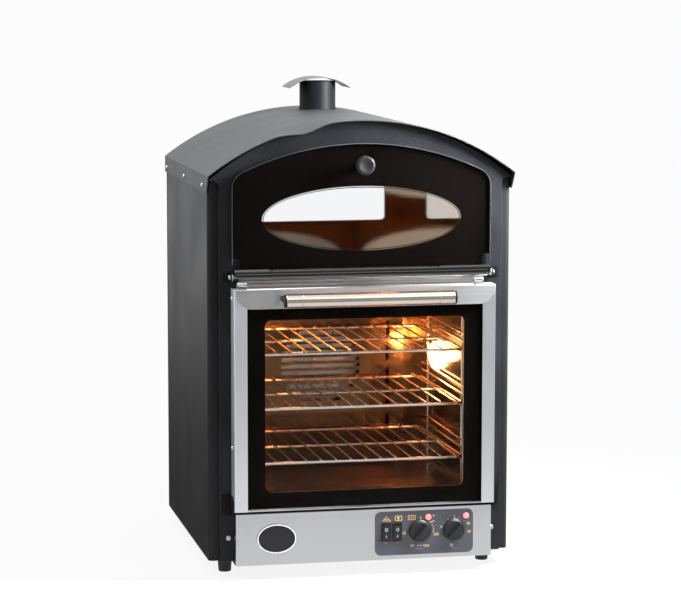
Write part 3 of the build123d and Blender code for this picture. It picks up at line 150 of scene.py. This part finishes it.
def steel(name, low, high, rough, stretch=ALONG_X, brush=0.12, highlight=None):
    """Metal sheet with brush lines, and its highlight spread along X or Z where asked."""
    material, tree, bsdf = shader(name)
    lines = noise(tree, scale=1.0, stretch=stretch, detail=4.0, rough=0.6)
    smudges = noise(tree, scale=14.0, detail=3.0)
    link(tree, tint(tree, lines, low, high), bsdf.inputs["Base Color"])
    line_gloss = spread(tree, lines, rough - 0.03, rough + 0.04)
    smudge_gloss = spread(tree, smudges, -0.02, 0.03)
    link(tree, arithmetic(tree, "ADD", line_gloss, smudge_gloss), bsdf.inputs["Roughness"])
    bsdf.inputs["Metallic"].default_value = 1.0
    if highlight:
        tangent = tree.nodes.new("ShaderNodeTangent")
        tangent.direction_type = "RADIAL"
        tangent.axis = "Z"
        bsdf.inputs["Anisotropic"].default_value = 0.75
        bsdf.inputs["Anisotropic Rotation"].default_value = HIGHLIGHT_TURN[highlight]
        link(tree, tangent.outputs["Tangent"], bsdf.inputs["Tangent"])
    bump(tree, bsdf, lines, brush, BRUSH_HEIGHT)
    return material


def plain(name, colour, rough, metallic=0.0, specular=0.5):
    """One colour, with a slightly uneven gloss."""
    material, tree, bsdf = shader(name)
    bsdf.inputs["Base Color"].default_value = (*colour, 1)
    bsdf.inputs["Metallic"].default_value = metallic
    bsdf.inputs["Specular IOR Level"].default_value = specular
    marks = noise(tree, scale=60.0, detail=3.0)
    link(tree, spread(tree, marks, rough - 0.03, rough + 0.04), bsdf.inputs["Roughness"])
    return material


def pane(name, colour, gloss):
    """A clear pane that hardly bends what is behind it, with a weak reflection from its coat."""
    material, _, bsdf = shader(name)
    bsdf.inputs["Base Color"].default_value = (*colour, 1)
    bsdf.inputs["Transmission Weight"].default_value = 1.0
    bsdf.inputs["IOR"].default_value = 1.01
    bsdf.inputs["Roughness"].default_value = 0.0
    bsdf.inputs["Coat Weight"].default_value = gloss
    bsdf.inputs["Coat Roughness"].default_value = 0.01
    bsdf.inputs["Alpha"].default_value = 0.4
    return material


def glowing(name, colour, strength, base=(0.9, 0.8, 0.6)):
    """A lit lens, tube or pilot light."""
    material, _, bsdf = shader(name)
    bsdf.inputs["Base Color"].default_value = (*base, 1)
    bsdf.inputs["Emission Color"].default_value = (*colour, 1)
    bsdf.inputs["Emission Strength"].default_value = strength
    bsdf.inputs["Roughness"].default_value = 0.3
    return material


fascia_enamel = enamel(
    "fascia_enamel", (0.010, 0.010, 0.0115), (0.019, 0.019, 0.022), rough=0.44,
    grain=450.0, height=0.6 * MM, strength=0.7, specular=0.14,
)
roof_enamel = enamel(
    "roof_enamel", (0.034, 0.034, 0.035), (0.042, 0.042, 0.043), rough=0.50,
    grain=1400.0, height=0.05 * MM,
)
side_enamel = enamel(
    "side_enamel", (0.013, 0.013, 0.013), (0.018, 0.018, 0.019), rough=0.42,
    grain=1400.0, height=0.05 * MM, specular=0.14, sheen=0.02,
)
pipe_enamel = enamel(
    "pipe_enamel", (0.005, 0.005, 0.006), (0.008, 0.008, 0.009), rough=0.46, specular=0.12
)
satin_black = enamel(
    "satin_black", (0.004, 0.004, 0.004), (0.006, 0.006, 0.006), rough=0.46, specular=0.15
)
knob_black = enamel(
    "knob_black", (0.012, 0.012, 0.013), (0.018, 0.018, 0.019), rough=0.48,
    grain=1500.0, height=0.03 * MM, specular=0.28,
)
dial_black = enamel(
    "dial_black", (0.009, 0.009, 0.010), (0.013, 0.013, 0.014), rough=0.38,
    grain=1500.0, height=0.03 * MM,
)
plate_slate = enamel(
    "plate_slate", (0.051, 0.053, 0.067), (0.057, 0.059, 0.074), rough=0.5,
    grain=2200.0, height=0.02 * MM,
)
wool = enamel(
    "wool", (0.55, 0.50, 0.33), (0.70, 0.65, 0.45), rough=0.9, grain=300.0, height=2 * MM
)

panel_steel = steel(
    "panel_steel", (0.66, 0.655, 0.66), (0.69, 0.685, 0.69), rough=0.20,
    brush=0.04, highlight="Z",
)
stile_steel = steel(
    "stile_steel", (0.86, 0.87, 0.89), (0.90, 0.91, 0.93), rough=0.38,
    stretch=ALONG_Z, brush=0.05, highlight="X",
)
bar_steel = steel(
    "bar_steel", (0.64, 0.63, 0.62), (0.69, 0.68, 0.67), rough=0.32, brush=0.06, highlight="Z"
)
handle_steel = steel(
    "handle_steel", (0.76, 0.69, 0.59), (0.82, 0.75, 0.65), rough=0.20, brush=0.06
)
# flap rail steel coloured near-black: painted dark reflection of the room in front, darker than
# the steel itself
rail_steel_painted_dark = steel(
    "rail_steel_painted_dark", (0.15, 0.145, 0.145), (0.21, 0.205, 0.205), rough=0.07,
    stretch=ROLLED, brush=0.10,
)
rail_shadow_steel = steel(
    "rail_shadow_steel", (0.36, 0.335, 0.29), (0.44, 0.415, 0.365), rough=0.30,
    brush=0.06, highlight="Z",
)
cap_steel = steel("cap_steel", (0.15, 0.15, 0.15), (0.20, 0.20, 0.20), rough=0.32)
# cavity steel tinted orange-brown: the tint is painted warm glow of the oven lamps
cavity_steel_painted_glow = steel(
    "cavity_steel_painted_glow", (0.17, 0.094, 0.046), (0.28, 0.160, 0.080), rough=0.15,
    stretch=MOTTLED, brush=0.01,
)
chamber_steel = steel(
    "chamber_steel", (0.57, 0.48, 0.38), (0.63, 0.54, 0.44), rough=0.03, brush=0.01
)
sheet_aluminium = steel("sheet_aluminium", (0.56, 0.56, 0.57), (0.64, 0.64, 0.65), rough=0.36)

wire_chrome = plain("wire_chrome", (0.72, 0.71, 0.70), rough=0.20, metallic=1.0)
bright_chrome = plain("bright_chrome", (0.60, 0.60, 0.59), rough=0.30, metallic=1.0)
gloss_black = plain("gloss_black", (0.008, 0.008, 0.008), rough=0.26)
matte_black = plain("matte_black", (0.014, 0.014, 0.014), rough=0.55)
black_rubber = plain("black_rubber", (0.012, 0.012, 0.012), rough=0.62)
seal_black = plain("seal_black", (0.020, 0.018, 0.016), rough=0.75)
print_black = plain("print_black", (0.004, 0.0027, 0.0022), rough=0.4, specular=0.05)
element_black = plain("element_black", (0.05, 0.04, 0.035), rough=0.6)
motor_grey = plain("motor_grey", (0.08, 0.085, 0.09), rough=0.45)
ceramic = plain("ceramic", (0.75, 0.72, 0.66), rough=0.4)
badge_slate = plain("badge_slate", (0.014, 0.013, 0.017), rough=0.45, specular=0.3)
ground_edge = plain("ground_edge", (0.085, 0.09, 0.095), rough=0.5)
white_print = plain("white_print", (0.82, 0.82, 0.82), rough=0.45)
yellow_print = plain("yellow_print", (0.74, 0.56, 0.12), rough=0.45)
orange_print = plain("orange_print", (0.70, 0.34, 0.12), rough=0.45)
red_print = plain("red_print", (0.55, 0.07, 0.10), rough=0.45)

flap_pane = pane("flap_pane", (1.0, 1.0, 1.0), gloss=0.15)
door_pane = pane("door_pane", (1.0, 0.98, 0.95), gloss=0.10)
rear_pane = pane("rear_pane", (0.84, 0.87, 0.89), gloss=0.15)
lens_glow = glowing("lens_glow", (1.0, 0.66, 0.28), strength=16.0)
tube_glow = glowing("tube_glow", (1.0, 0.66, 0.30), strength=9.0)
pilot_glow = glowing("pilot_glow", (1.0, 0.30, 0.30), strength=0.85, base=(0.75, 0.12, 0.12))

finish = {
    # cabinet
    "roof_sheet": roof_enamel, "left_side_panel": side_enamel, "right_side_panel": side_enamel,
    "rear_panel": side_enamel, "base_pan": sheet_aluminium, "feet": black_rubber,
    "front_fascia": fascia_enamel, "centre_rail": rail_shadow_steel,
    "chimney_pipe": pipe_enamel, "chimney_cap": cap_steel, "cable_gland": matte_black,
    "cabinet_screws": bright_chrome,
    # oven
    "oven_cavity": cavity_steel_painted_glow, "cavity_insulation": wool, "fan_baffle": cavity_steel_painted_glow,
    "heating_element": element_black, "fan_motor": motor_grey, "fan_impeller": sheet_aluminium,
    "rack_bottom": wire_chrome, "rack_middle": wire_chrome, "rack_top": wire_chrome,
    "runner_left": wire_chrome, "runner_right": wire_chrome, "oven_lamp_lens": lens_glow,
    "oven_lamp_holder": ceramic, "door_seal": seal_black,
    # display chamber
    "display_chamber": chamber_steel, "rear_window_seal": seal_black,
    "rear_window_glass": rear_pane, "display_lamp_holder": ceramic,
    "display_lamp_bulb": tube_glow,
    # controls
    "control_panel": panel_steel, "control_plate": plate_slate, "rocker_housings": gloss_black,
    "rocker_lights": gloss_black, "rocker_fan": gloss_black, "thermostat_knob": dial_black,
    "timer_knob": dial_black, "dial_switches": matte_black, "pilot_lights": pilot_glow,
    "badge_plate": badge_slate,
    # oven door and its hinge plates
    "lower_hinge_plates": satin_black, "door_frame": stile_steel, "door_outer_glass": door_pane,
    "door_glass_print": print_black, "door_inner_glass": door_pane, "door_top_bar": bar_steel,
    "door_handle": handle_steel, "handle_brackets": satin_black, "roller_brackets": bright_chrome,
    "roller_left": wire_chrome, "roller_right": wire_chrome, "door_screws": bright_chrome,
    # display flap and its pivot brackets
    "flap_glass": flap_pane, "flap_glass_print": print_black, "flap_rail": rail_steel_painted_dark,
    "flap_knob": knob_black, "flap_pivot_brackets": satin_black,
    "flap_pivot_screws": bright_chrome,
}
for node_name, material in finish.items():
    for material_slot in nodes[node_name].material_slots:
        material_slot.material = material


# ---------------------------------------------------------------- small pieces
def place(name, mesh, material, body):
    """A piece of its own that moves with a body."""
    piece = bpy.data.objects.new(name, mesh)
    scene.collection.objects.link(piece)
    mesh.materials.append(material)
    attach(piece, body)


def finished(name, mesh):
    """The mesh data of a bmesh, with its faces turned outwards."""
    bmesh.ops.recalc_face_normals(mesh, faces=mesh.faces)
    result = bpy.data.meshes.new(name)
    mesh.to_mesh(result)
    mesh.free()
    return result


def band(name, outer, inner, back, front, closed=True):
    """A flat strip between two outlines in the XZ plane, in mm, from one depth to another."""
    mesh = bmesh.new()
    back_out, back_in, front_out, front_in = (
        [mesh.verts.new((x * MM, depth, z * MM)) for x, z in outline]
        for depth in (back, front)
        for outline in (outer, inner)
    )
    sides = (front_out, front_in), (front_in, back_in), (back_in, back_out), (back_out, front_out)
    count = len(outer)
    for i in range(count if closed else count - 1):
        j = (i + 1) % count
        for a, b in sides:
            mesh.faces.new((a[i], a[j], b[j], b[i]))
    if not closed:
        for end in (0, -1):
            mesh.faces.new((front_out[end], front_in[end], back_in[end], back_out[end]))
    return finished(name, mesh)


def ellipse(x, z, half_length, half_height, count=128):
    """Points of a closed ellipse in the XZ plane."""
    angles = [2 * math.pi * i / count for i in range(count)]
    return [(x + half_length * math.cos(a), z + half_height * math.sin(a)) for a in angles]


def arc(x, z, radius, start, end, count):
    """Points in the XZ plane on an arc, angles in degrees from +X."""
    angles = [math.radians(start + (end - start) * i / count) for i in range(count + 1)]
    return [(x + radius * math.cos(a), z + radius * math.sin(a)) for a in angles]


def printed(name, node_name, outlines, material, body, depth=0.15 * MM):
    """Printed marks: closed outlines in the XZ plane, in mm, laid on the front of a node."""
    source = nodes[node_name].data
    surface = BVHTree.FromPolygons(
        [vertex.co for vertex in source.vertices],
        [tuple(face.vertices) for face in source.polygons],
    )
    mesh = bmesh.new()
    for outline in outlines:
        front_ring, back_ring = [], []
        for x, z in outline:
            hit = surface.ray_cast(Vector((x * MM, -1.0, z * MM)), Vector((0, 1, 0)))[0]
            front_ring.append(mesh.verts.new((x * MM, hit.y - depth, z * MM)))
            back_ring.append(mesh.verts.new((x * MM, hit.y + depth, z * MM)))
        mesh.faces.new(front_ring)
        mesh.faces.new(back_ring[::-1])
        for i in range(len(outline)):
            j = (i + 1) % len(outline)
            mesh.faces.new((front_ring[j], front_ring[i], back_ring[i], back_ring[j]))
    place(name, finished(name, mesh), material, body)


def stroke(points, width, closed=False):
    """Quads that follow a line of points, each as wide as given and longer by that width."""
    quads = []
    for i in range(len(points) if closed else len(points) - 1):
        (ax, az), (bx, bz) = points[i], points[(i + 1) % len(points)]
        scale = width / 2 / math.hypot(bx - ax, bz - az)
        ux, uz = (bx - ax) * scale, (bz - az) * scale
        quads.append(
            [
                (ax - ux - uz, az - uz + ux), (bx + ux - uz, bz + uz + ux),
                (bx + ux + uz, bz + uz - ux), (ax - ux + uz, az - uz - ux),
            ]
        )
    return quads


def dash(x_low, x_high, z, width=1.0):
    """A level stroke."""
    return stroke([(x_low, z), (x_high, z)], width)


def post(x, z_low, z_high, width=1.0):
    """An upright stroke."""
    return stroke([(x, z_low), (x, z_high)], width)


def frame_mark(x_low, x_high, z_low, z_high, width=1.1):
    """The four strokes of a rectangle."""
    corners = [(x_low, z_low), (x_high, z_low), (x_high, z_high), (x_low, z_high)]
    return stroke(corners, width, closed=True)


# a digit's seven strokes, in halves of its height, and the strokes that make each digit
SEGMENTS = {
    "a": ((0, 2), (1, 2)), "b": ((1, 2), (1, 1)), "c": ((1, 1), (1, 0)), "d": ((0, 0), (1, 0)),
    "e": ((0, 1), (0, 0)), "f": ((0, 2), (0, 1)), "g": ((0, 1), (1, 1)),
}
LIT = {
    "0": "abcdef", "1": "bc", "2": "abged", "3": "abgcd", "4": "fgbc", "5": "afgcd",
    "6": "afgedc", "7": "abc", "8": "abcdefg", "9": "abcdfg",
}
# a digit's advance and its stroke's width as shares of its height
ADVANCE_SHARE, STROKE_SHARE = 0.85, 0.17


def digits(text, x, z, height):
    """Plain seven-stroke numbers, centred at a point."""
    size = height / 2
    advance = height * ADVANCE_SHARE
    start = x - (len(text) - 1) * advance / 2 - size / 2
    quads = []
    for index, character in enumerate(text):
        for segment in LIT[character]:
            line = [
                (start + index * advance + px * size, z + (pz - 1) * size)
                for px, pz in SEGMENTS[segment]
            ]
            quads += stroke(line, height * STROKE_SHARE)
    return quads


# white rim round the blank badge
badge_x, badge_z = -148.4, 68.7
rim_half_length, rim_half_height = 32.7, 24.4
rim_width = 2.0
badge_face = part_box("badge_plate")[0][1]
rim_mesh = band(
    "badge_rim",
    ellipse(badge_x, badge_z, rim_half_length, rim_half_height),
    ellipse(badge_x, badge_z, rim_half_length - rim_width, rim_half_height - rim_width),
    back=badge_face + 0.1 * MM, front=badge_face - 0.2 * MM,
)
place("badge_rim", rim_mesh, white_print, "cabinet")

# ground edge of the flap glass, which has straight sides, round corners and an arched top
glass_half_width, glass_foot, glass_crown = 216.5, 520.0, 715.0
glass_corner, crown_radius = 30.0, 471.0
glass_back, glass_front = FRONT - 13.5 * MM, FRONT - 19.3 * MM
edge_outside, edge_inside = 0.5, 0.02
crown_centre = glass_crown - crown_radius
corner_x = glass_half_width - glass_corner
corner_z = crown_centre + math.sqrt((crown_radius - glass_corner) ** 2 - corner_x ** 2)
lean = math.degrees(math.atan2(corner_z - crown_centre, corner_x))


def glass_outline(grow):
    """The glass's outline from its right foot over the arch to its left foot, grown by mm."""
    half = glass_half_width + grow
    right_corner = arc(corner_x, corner_z, glass_corner + grow, 0, lean, 10)
    crown = arc(0, crown_centre, crown_radius + grow, lean, 180 - lean, 60)[1:-1]
    left_corner = arc(-corner_x, corner_z, glass_corner + grow, 180 - lean, 180, 10)
    return [(half, glass_foot)] + right_corner + crown + left_corner + [(-half, glass_foot)]


edge_mesh = band(
    "flap_glass_edge", glass_outline(edge_outside), glass_outline(edge_inside),
    back=glass_back, front=glass_front, closed=False,
)
place("flap_glass_edge", edge_mesh, ground_edge, "display_flap")

# marks on the control plate: plain numbers, pictograms and scale dashes, places in mm
yellow_numbers = (
    ("50", 66.3, 69.0, 3.6), ("250", 121.6, 64.8, 3.6), ("100", 79.6, 47.6, 3.4),
    ("200", 105.4, 46.4, 3.4), ("0", 94.8, 94.3, 3.6), ("10", 129.4, 77.1, 3.6),
    ("50", 176.4, 81.2, 3.6), ("60", 178.0, 67.2, 3.4), ("30", 147.4, 45.4, 3.4),
    ("0", 152.6, 92.7, 3.4),
)
yellow_marks = [quad for number in yellow_numbers for quad in digits(*number)]
yellow_marks += stroke([(110.8, 85.4), (117.3, 87.8)], 1.5)
yellow_marks += stroke([(115.8, 96.6), (118.2, 97.6)], 1.1)
yellow_marks += frame_mark(51.2, 62.2, 90.7, 98.2) + [ellipse(56.7, 94.5, 1.8, 2.2, 20)]

orange_marks = stroke([(30.0, 90.9), (43.0, 90.3), (36.5, 97.8)], 1.2, closed=True)
orange_marks += stroke([(33.4, 93.2), (39.8, 93.0)], 0.8)
orange_marks += frame_mark(73.4, 85.4, 91.3, 98.2)
for x in (76.2, 79.4, 82.6):
    orange_marks += post(x, 93.2, 96.4)

scale_dash = 1.1
white_marks = []
for x, z in (
    (114.7, 81.4), (116.2, 77.7), (116.9, 73.7), (116.4, 69.8), (89.8, 47.0), (94.7, 46.8),
    (99.6, 47.1), (160.0, 90.8), (164.9, 88.9), (169.2, 85.6), (141.5, 89.5), (134.6, 83.4),
):
    white_marks += dash(x - scale_dash / 2, x + scale_dash / 2, z)

red_marks = []
for x_low, x_high, z in (
    (31.6, 38.8, 53.4), (52.0, 57.6, 53.2), (86.5, 99.5, 41.9), (149.6, 156.2, 41.0)
):
    red_marks += dash(x_low, x_high, z)

for colour, marks, material in (
    ("yellow", yellow_marks, yellow_print), ("orange", orange_marks, orange_print),
    ("white", white_marks, white_print), ("red", red_marks, red_print),
):
    printed("plate_marks_" + colour, "control_plate", marks, material, "cabinet")

# a ring and a bar on each rocker
for node_name, body in (("rocker_lights", "lights_rocker"), ("rocker_fan", "fan_rocker")):
    low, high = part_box(node_name)
    x = (low[0] + high[0]) / 2 / MM
    marks = stroke(ellipse(x, 76.2, 2.0, 2.4, 16), 0.8, closed=True) + post(x, 63.4, 66.6, 0.9)
    printed(node_name + "_marks", node_name, marks, white_print, body)


# ---------------------------------------------------------------- stage
STAGE_WHITE = 0.975
FLOOR_REACH = 30


def ray_shares(tree):
    """1 for what the camera sees straight or through glass, and 1 for what a mirror sees."""
    rays = tree.nodes.new("ShaderNodeLightPath").outputs
    diffuse = arithmetic(tree, "MINIMUM", rays["Diffuse Depth"], 1.0)
    no_diffuse = arithmetic(tree, "SUBTRACT", 1.0, diffuse)
    glossy = arithmetic(tree, "MINIMUM", rays["Glossy Depth"], 1.0)
    no_glossy = arithmetic(tree, "SUBTRACT", 1.0, glossy)
    through = arithmetic(tree, "MULTIPLY", rays["Is Transmission Ray"], no_diffuse)
    through = arithmetic(tree, "MULTIPLY", through, no_glossy)
    seen = arithmetic(tree, "MAXIMUM", rays["Is Camera Ray"], through)
    return seen, arithmetic(tree, "MULTIPLY", glossy, no_diffuse)


def ramped(tree, value, start, end, low, high):
    """Low up to the value start, high from the value end on, and a soft step between."""
    node = tree.nodes.new("ShaderNodeMapRange")
    node.interpolation_type = "SMOOTHSTEP"
    for socket, number in zip(
        ("From Min", "From Max", "To Min", "To Max"), (start, end, low, high)
    ):
        node.inputs[socket].default_value = number
    link(tree, value, node.inputs["Value"])
    return node.outputs["Result"]


def vector_math(tree, operation, vector):
    """A vector's length or its direction."""
    node = tree.nodes.new("ShaderNodeVectorMath")
    node.operation = operation
    link(tree, vector, node.inputs[0])
    return node.outputs["Value" if operation == "LENGTH" else "Vector"]


def directions(tree, direction):
    """The X, Y and Z of a direction."""
    parts = tree.nodes.new("ShaderNodeSeparateXYZ")
    link(tree, direction, parts.inputs["Vector"])
    return parts.outputs["X"], parts.outputs["Y"], parts.outputs["Z"]


def front_shares(tree, sideways, inward):
    """How far a direction lies in the room's dark middle, and how far in its front half."""
    aside = arithmetic(tree, "ABSOLUTE", arithmetic(tree, "SUBTRACT", sideways, 0.2))
    middle = ramped(tree, aside, start=0.16, end=0.55, low=1.0, high=0.0)
    return middle, ramped(tree, inward, start=-0.1, end=-0.6, low=0.0, high=1.0)


def glow(tree, kind, colour, strength):
    """An emission or background of one colour, its strength a number or an output."""
    node = tree.nodes.new(kind)
    node.inputs["Color"].default_value = (*colour, 1)
    if isinstance(strength, float):
        node.inputs["Strength"].default_value = strength
    else:
        link(tree, strength, node.inputs["Strength"])
    return node.outputs[0]


def mixed(tree, share, first, second):
    """Two shaders, the second one by a share."""
    node = tree.nodes.new("ShaderNodeMixShader")
    link(tree, share, node.inputs["Fac"])
    link(tree, first, node.inputs[1])
    link(tree, second, node.inputs[2])
    return node.outputs["Shader"]


# a white floor that keeps a faint shadow near the oven
floor_mesh = bpy.data.meshes.new("floor")
floor_mesh.from_pydata(
    [
        (-FLOOR_REACH, -FLOOR_REACH, 0), (FLOOR_REACH, -FLOOR_REACH, 0),
        (FLOOR_REACH, FLOOR_REACH, 0), (-FLOOR_REACH, FLOOR_REACH, 0),
    ],
    [], [(0, 1, 2, 3)],
)
floor = bpy.data.objects.new("floor", floor_mesh)
scene.collection.objects.link(floor)
floor_material, tree, bsdf = shader("floor_white")
bsdf.inputs["Base Color"].default_value = (0.90, 0.90, 0.90, 1)
bsdf.inputs["Roughness"].default_value = 0.9
bsdf.inputs["Specular IOR Level"].default_value = 0.1
seen, mirrored = ray_shares(tree)
coords = tree.nodes.new("ShaderNodeTexCoord").outputs["Object"]
distance = vector_math(tree, "LENGTH", coords)
own_glow = ramped(tree, distance, start=0.45, end=1.4, low=0.90, high=1.0)
white = glow(tree, "ShaderNodeEmission", (1, 1, 1), STAGE_WHITE)
plain_floor = mixed(
    tree, arithmetic(tree, "MULTIPLY", seen, own_glow), bsdf.outputs["BSDF"], white
)

# what mirrors see in the floor: in front pale with a dark middle, and dark close behind
front_floor_tone, front_floor_dimming = 0.88, -0.74
sideways, inward, _ = directions(tree, vector_math(tree, "NORMALIZE", coords))
middle, in_front = front_shares(tree, sideways, inward)
far = ramped(tree, distance, start=0.8, end=2.0, low=0.0, high=1.0)
dark = arithmetic(tree, "MULTIPLY", arithmetic(tree, "MULTIPLY", middle, in_front), far)
dimming = arithmetic(tree, "MULTIPLY", dark, front_floor_dimming)
front_tone = arithmetic(tree, "ADD", front_floor_tone, dimming)
rear_tone = ramped(tree, distance, start=1.2, end=5.0, low=0.04, high=0.9)
behind = arithmetic(tree, "SUBTRACT", 1.0, in_front)
floor_tone = arithmetic(
    tree, "ADD",
    arithmetic(tree, "MULTIPLY", front_tone, in_front),
    arithmetic(tree, "MULTIPLY", rear_tone, behind),
)
room_floor = glow(tree, "ShaderNodeEmission", (0.97, 0.98, 1.0), floor_tone)
floor_shader = mixed(tree, mirrored, plain_floor, room_floor)
link(tree, floor_shader, tree.nodes["Material Output"].inputs["Surface"])
floor_mesh.materials.append(floor_material)

# a white backdrop and a dim even light; mirrors see a pale room with a dark part in front
room_wall_tone, room_wall_dimming = 0.95, -0.85
world = bpy.data.worlds.new("studio")
world.use_nodes = True
scene.world = world
tree = world.node_tree
ambient = tree.nodes["Background"]
ambient.inputs["Color"].default_value = (0.94, 0.96, 1.0, 1)
ambient.inputs["Strength"].default_value = 0.22
seen, mirrored = ray_shares(tree)
coords = tree.nodes.new("ShaderNodeTexCoord").outputs["Generated"]
sideways, inward, upright = directions(tree, coords)
middle, in_front = front_shares(tree, sideways, inward)
above_horizon = ramped(tree, upright, start=0.05, end=0.12, low=0.0, high=1.0)
below_ceiling = ramped(tree, upright, start=0.30, end=0.52, low=1.0, high=0.0)
low_wall = arithmetic(tree, "MULTIPLY", above_horizon, below_ceiling)
dark = arithmetic(tree, "MULTIPLY", arithmetic(tree, "MULTIPLY", middle, in_front), low_wall)
dimming = arithmetic(tree, "MULTIPLY", dark, room_wall_dimming)
room_tone = arithmetic(tree, "ADD", room_wall_tone, dimming)
room = glow(tree, "ShaderNodeBackground", (0.96, 0.98, 1.0), room_tone)
backdrop = glow(tree, "ShaderNodeBackground", (1, 1, 1), STAGE_WHITE)
lit_world = mixed(tree, mirrored, ambient.outputs["Background"], room)
world_shader = mixed(tree, seen, lit_world, backdrop)
link(tree, world_shader, tree.nodes["World Output"].inputs["Surface"])


# ---------------------------------------------------------------- lamps
WARM = (1.0, 0.36, 0.08)


def lamp(name, kind, place_at, power, colour):
    """A lamp that the camera doesn't see."""
    data = bpy.data.lights.new(name, kind)
    data.energy = power
    data.color = colour
    piece = bpy.data.objects.new(name, data)
    piece.location = place_at
    piece.visible_camera = False
    scene.collection.objects.link(piece)
    return piece, data


def softbox(name, place_at, aim, size, power, colour=(1, 1, 1)):
    """A soft lamp outside the oven, turned to the point that it lights."""
    piece, data = lamp(name, "AREA", place_at, power, colour)
    data.shape = "RECTANGLE"
    data.size, data.size_y = size
    facing = Vector(aim) - Vector(place_at)
    piece.rotation_euler = facing.to_track_quat("-Z", "Y").to_euler()


def bulb(name, place_at, power, radius):
    """A warm lamp inside the oven or the display, not seen through glass either."""
    piece, data = lamp(name, "POINT", place_at, power, WARM)
    data.shadow_soft_size = radius
    piece.visible_transmission = False


softbox("key", (2.0, -2.4, 1.9), aim=(0, 0, 0.40), size=(1.3, 1.6), power=8)
softbox(
    "window", (0.54, -0.38, 0.90), aim=(0.24, -0.20, 0.68), size=(0.24, 0.30), power=38,
    colour=(0.93, 0.96, 1.0),
)
softbox("front_top", (0.2, -2.2, 2.5), aim=(0, -0.2, 0.50), size=(2.2, 0.5), power=4)
softbox("top", (-0.6, 0.6, 2.8), aim=(0, 0, 0.70), size=(1.8, 1.8), power=42)
softbox("fill", (-1.2, 0.1, 1.35), aim=(-0.25, 0.05, 0.65), size=(0.6, 0.6), power=9.5)

bulb("oven_lamp", (0.168, FRONT + 0.225, 0.326), power=4.4, radius=0.012)
bulb("oven_rear_lamp", (-0.06, FRONT + 0.22, 0.44), power=2.0, radius=0.02)
bulb("display_lamp_left", (-0.09, FRONT + 0.15, 0.665), power=6.0, radius=0.012)
bulb("display_lamp_right", (0.09, FRONT + 0.15, 0.665), power=6.0, radius=0.012)


# ---------------------------------------------------------------- camera
# solved from the cabinet's straight edges in the photograph
camera_place = Vector((-0.9111, -4.1819 + FRONT, 0.9904))
yaw, pitch, roll = math.radians(11.855), math.radians(7.122), math.radians(0.07)
forward = Vector(
    (math.sin(yaw) * math.cos(pitch), math.cos(yaw) * math.cos(pitch), -math.sin(pitch))
)
level = Vector((math.cos(yaw), -math.sin(yaw), 0.0))
upward = level.cross(forward)
right = math.cos(roll) * level + math.sin(roll) * upward
up = -math.sin(roll) * level + math.cos(roll) * upward
camera_data = bpy.data.cameras.new("camera")
camera_data.sensor_fit = "HORIZONTAL"
camera_data.sensor_width = 36.0
camera_data.lens = 137.98
camera_data.clip_end = 100.0
camera = bpy.data.objects.new("camera", camera_data)
scene.collection.objects.link(camera)
camera_matrix = Matrix((right, up, -forward)).transposed().to_4x4()
camera_matrix.translation = camera_place
camera.matrix_world = camera_matrix
scene.camera = camera
scene.view_settings.view_transform = "Standard"
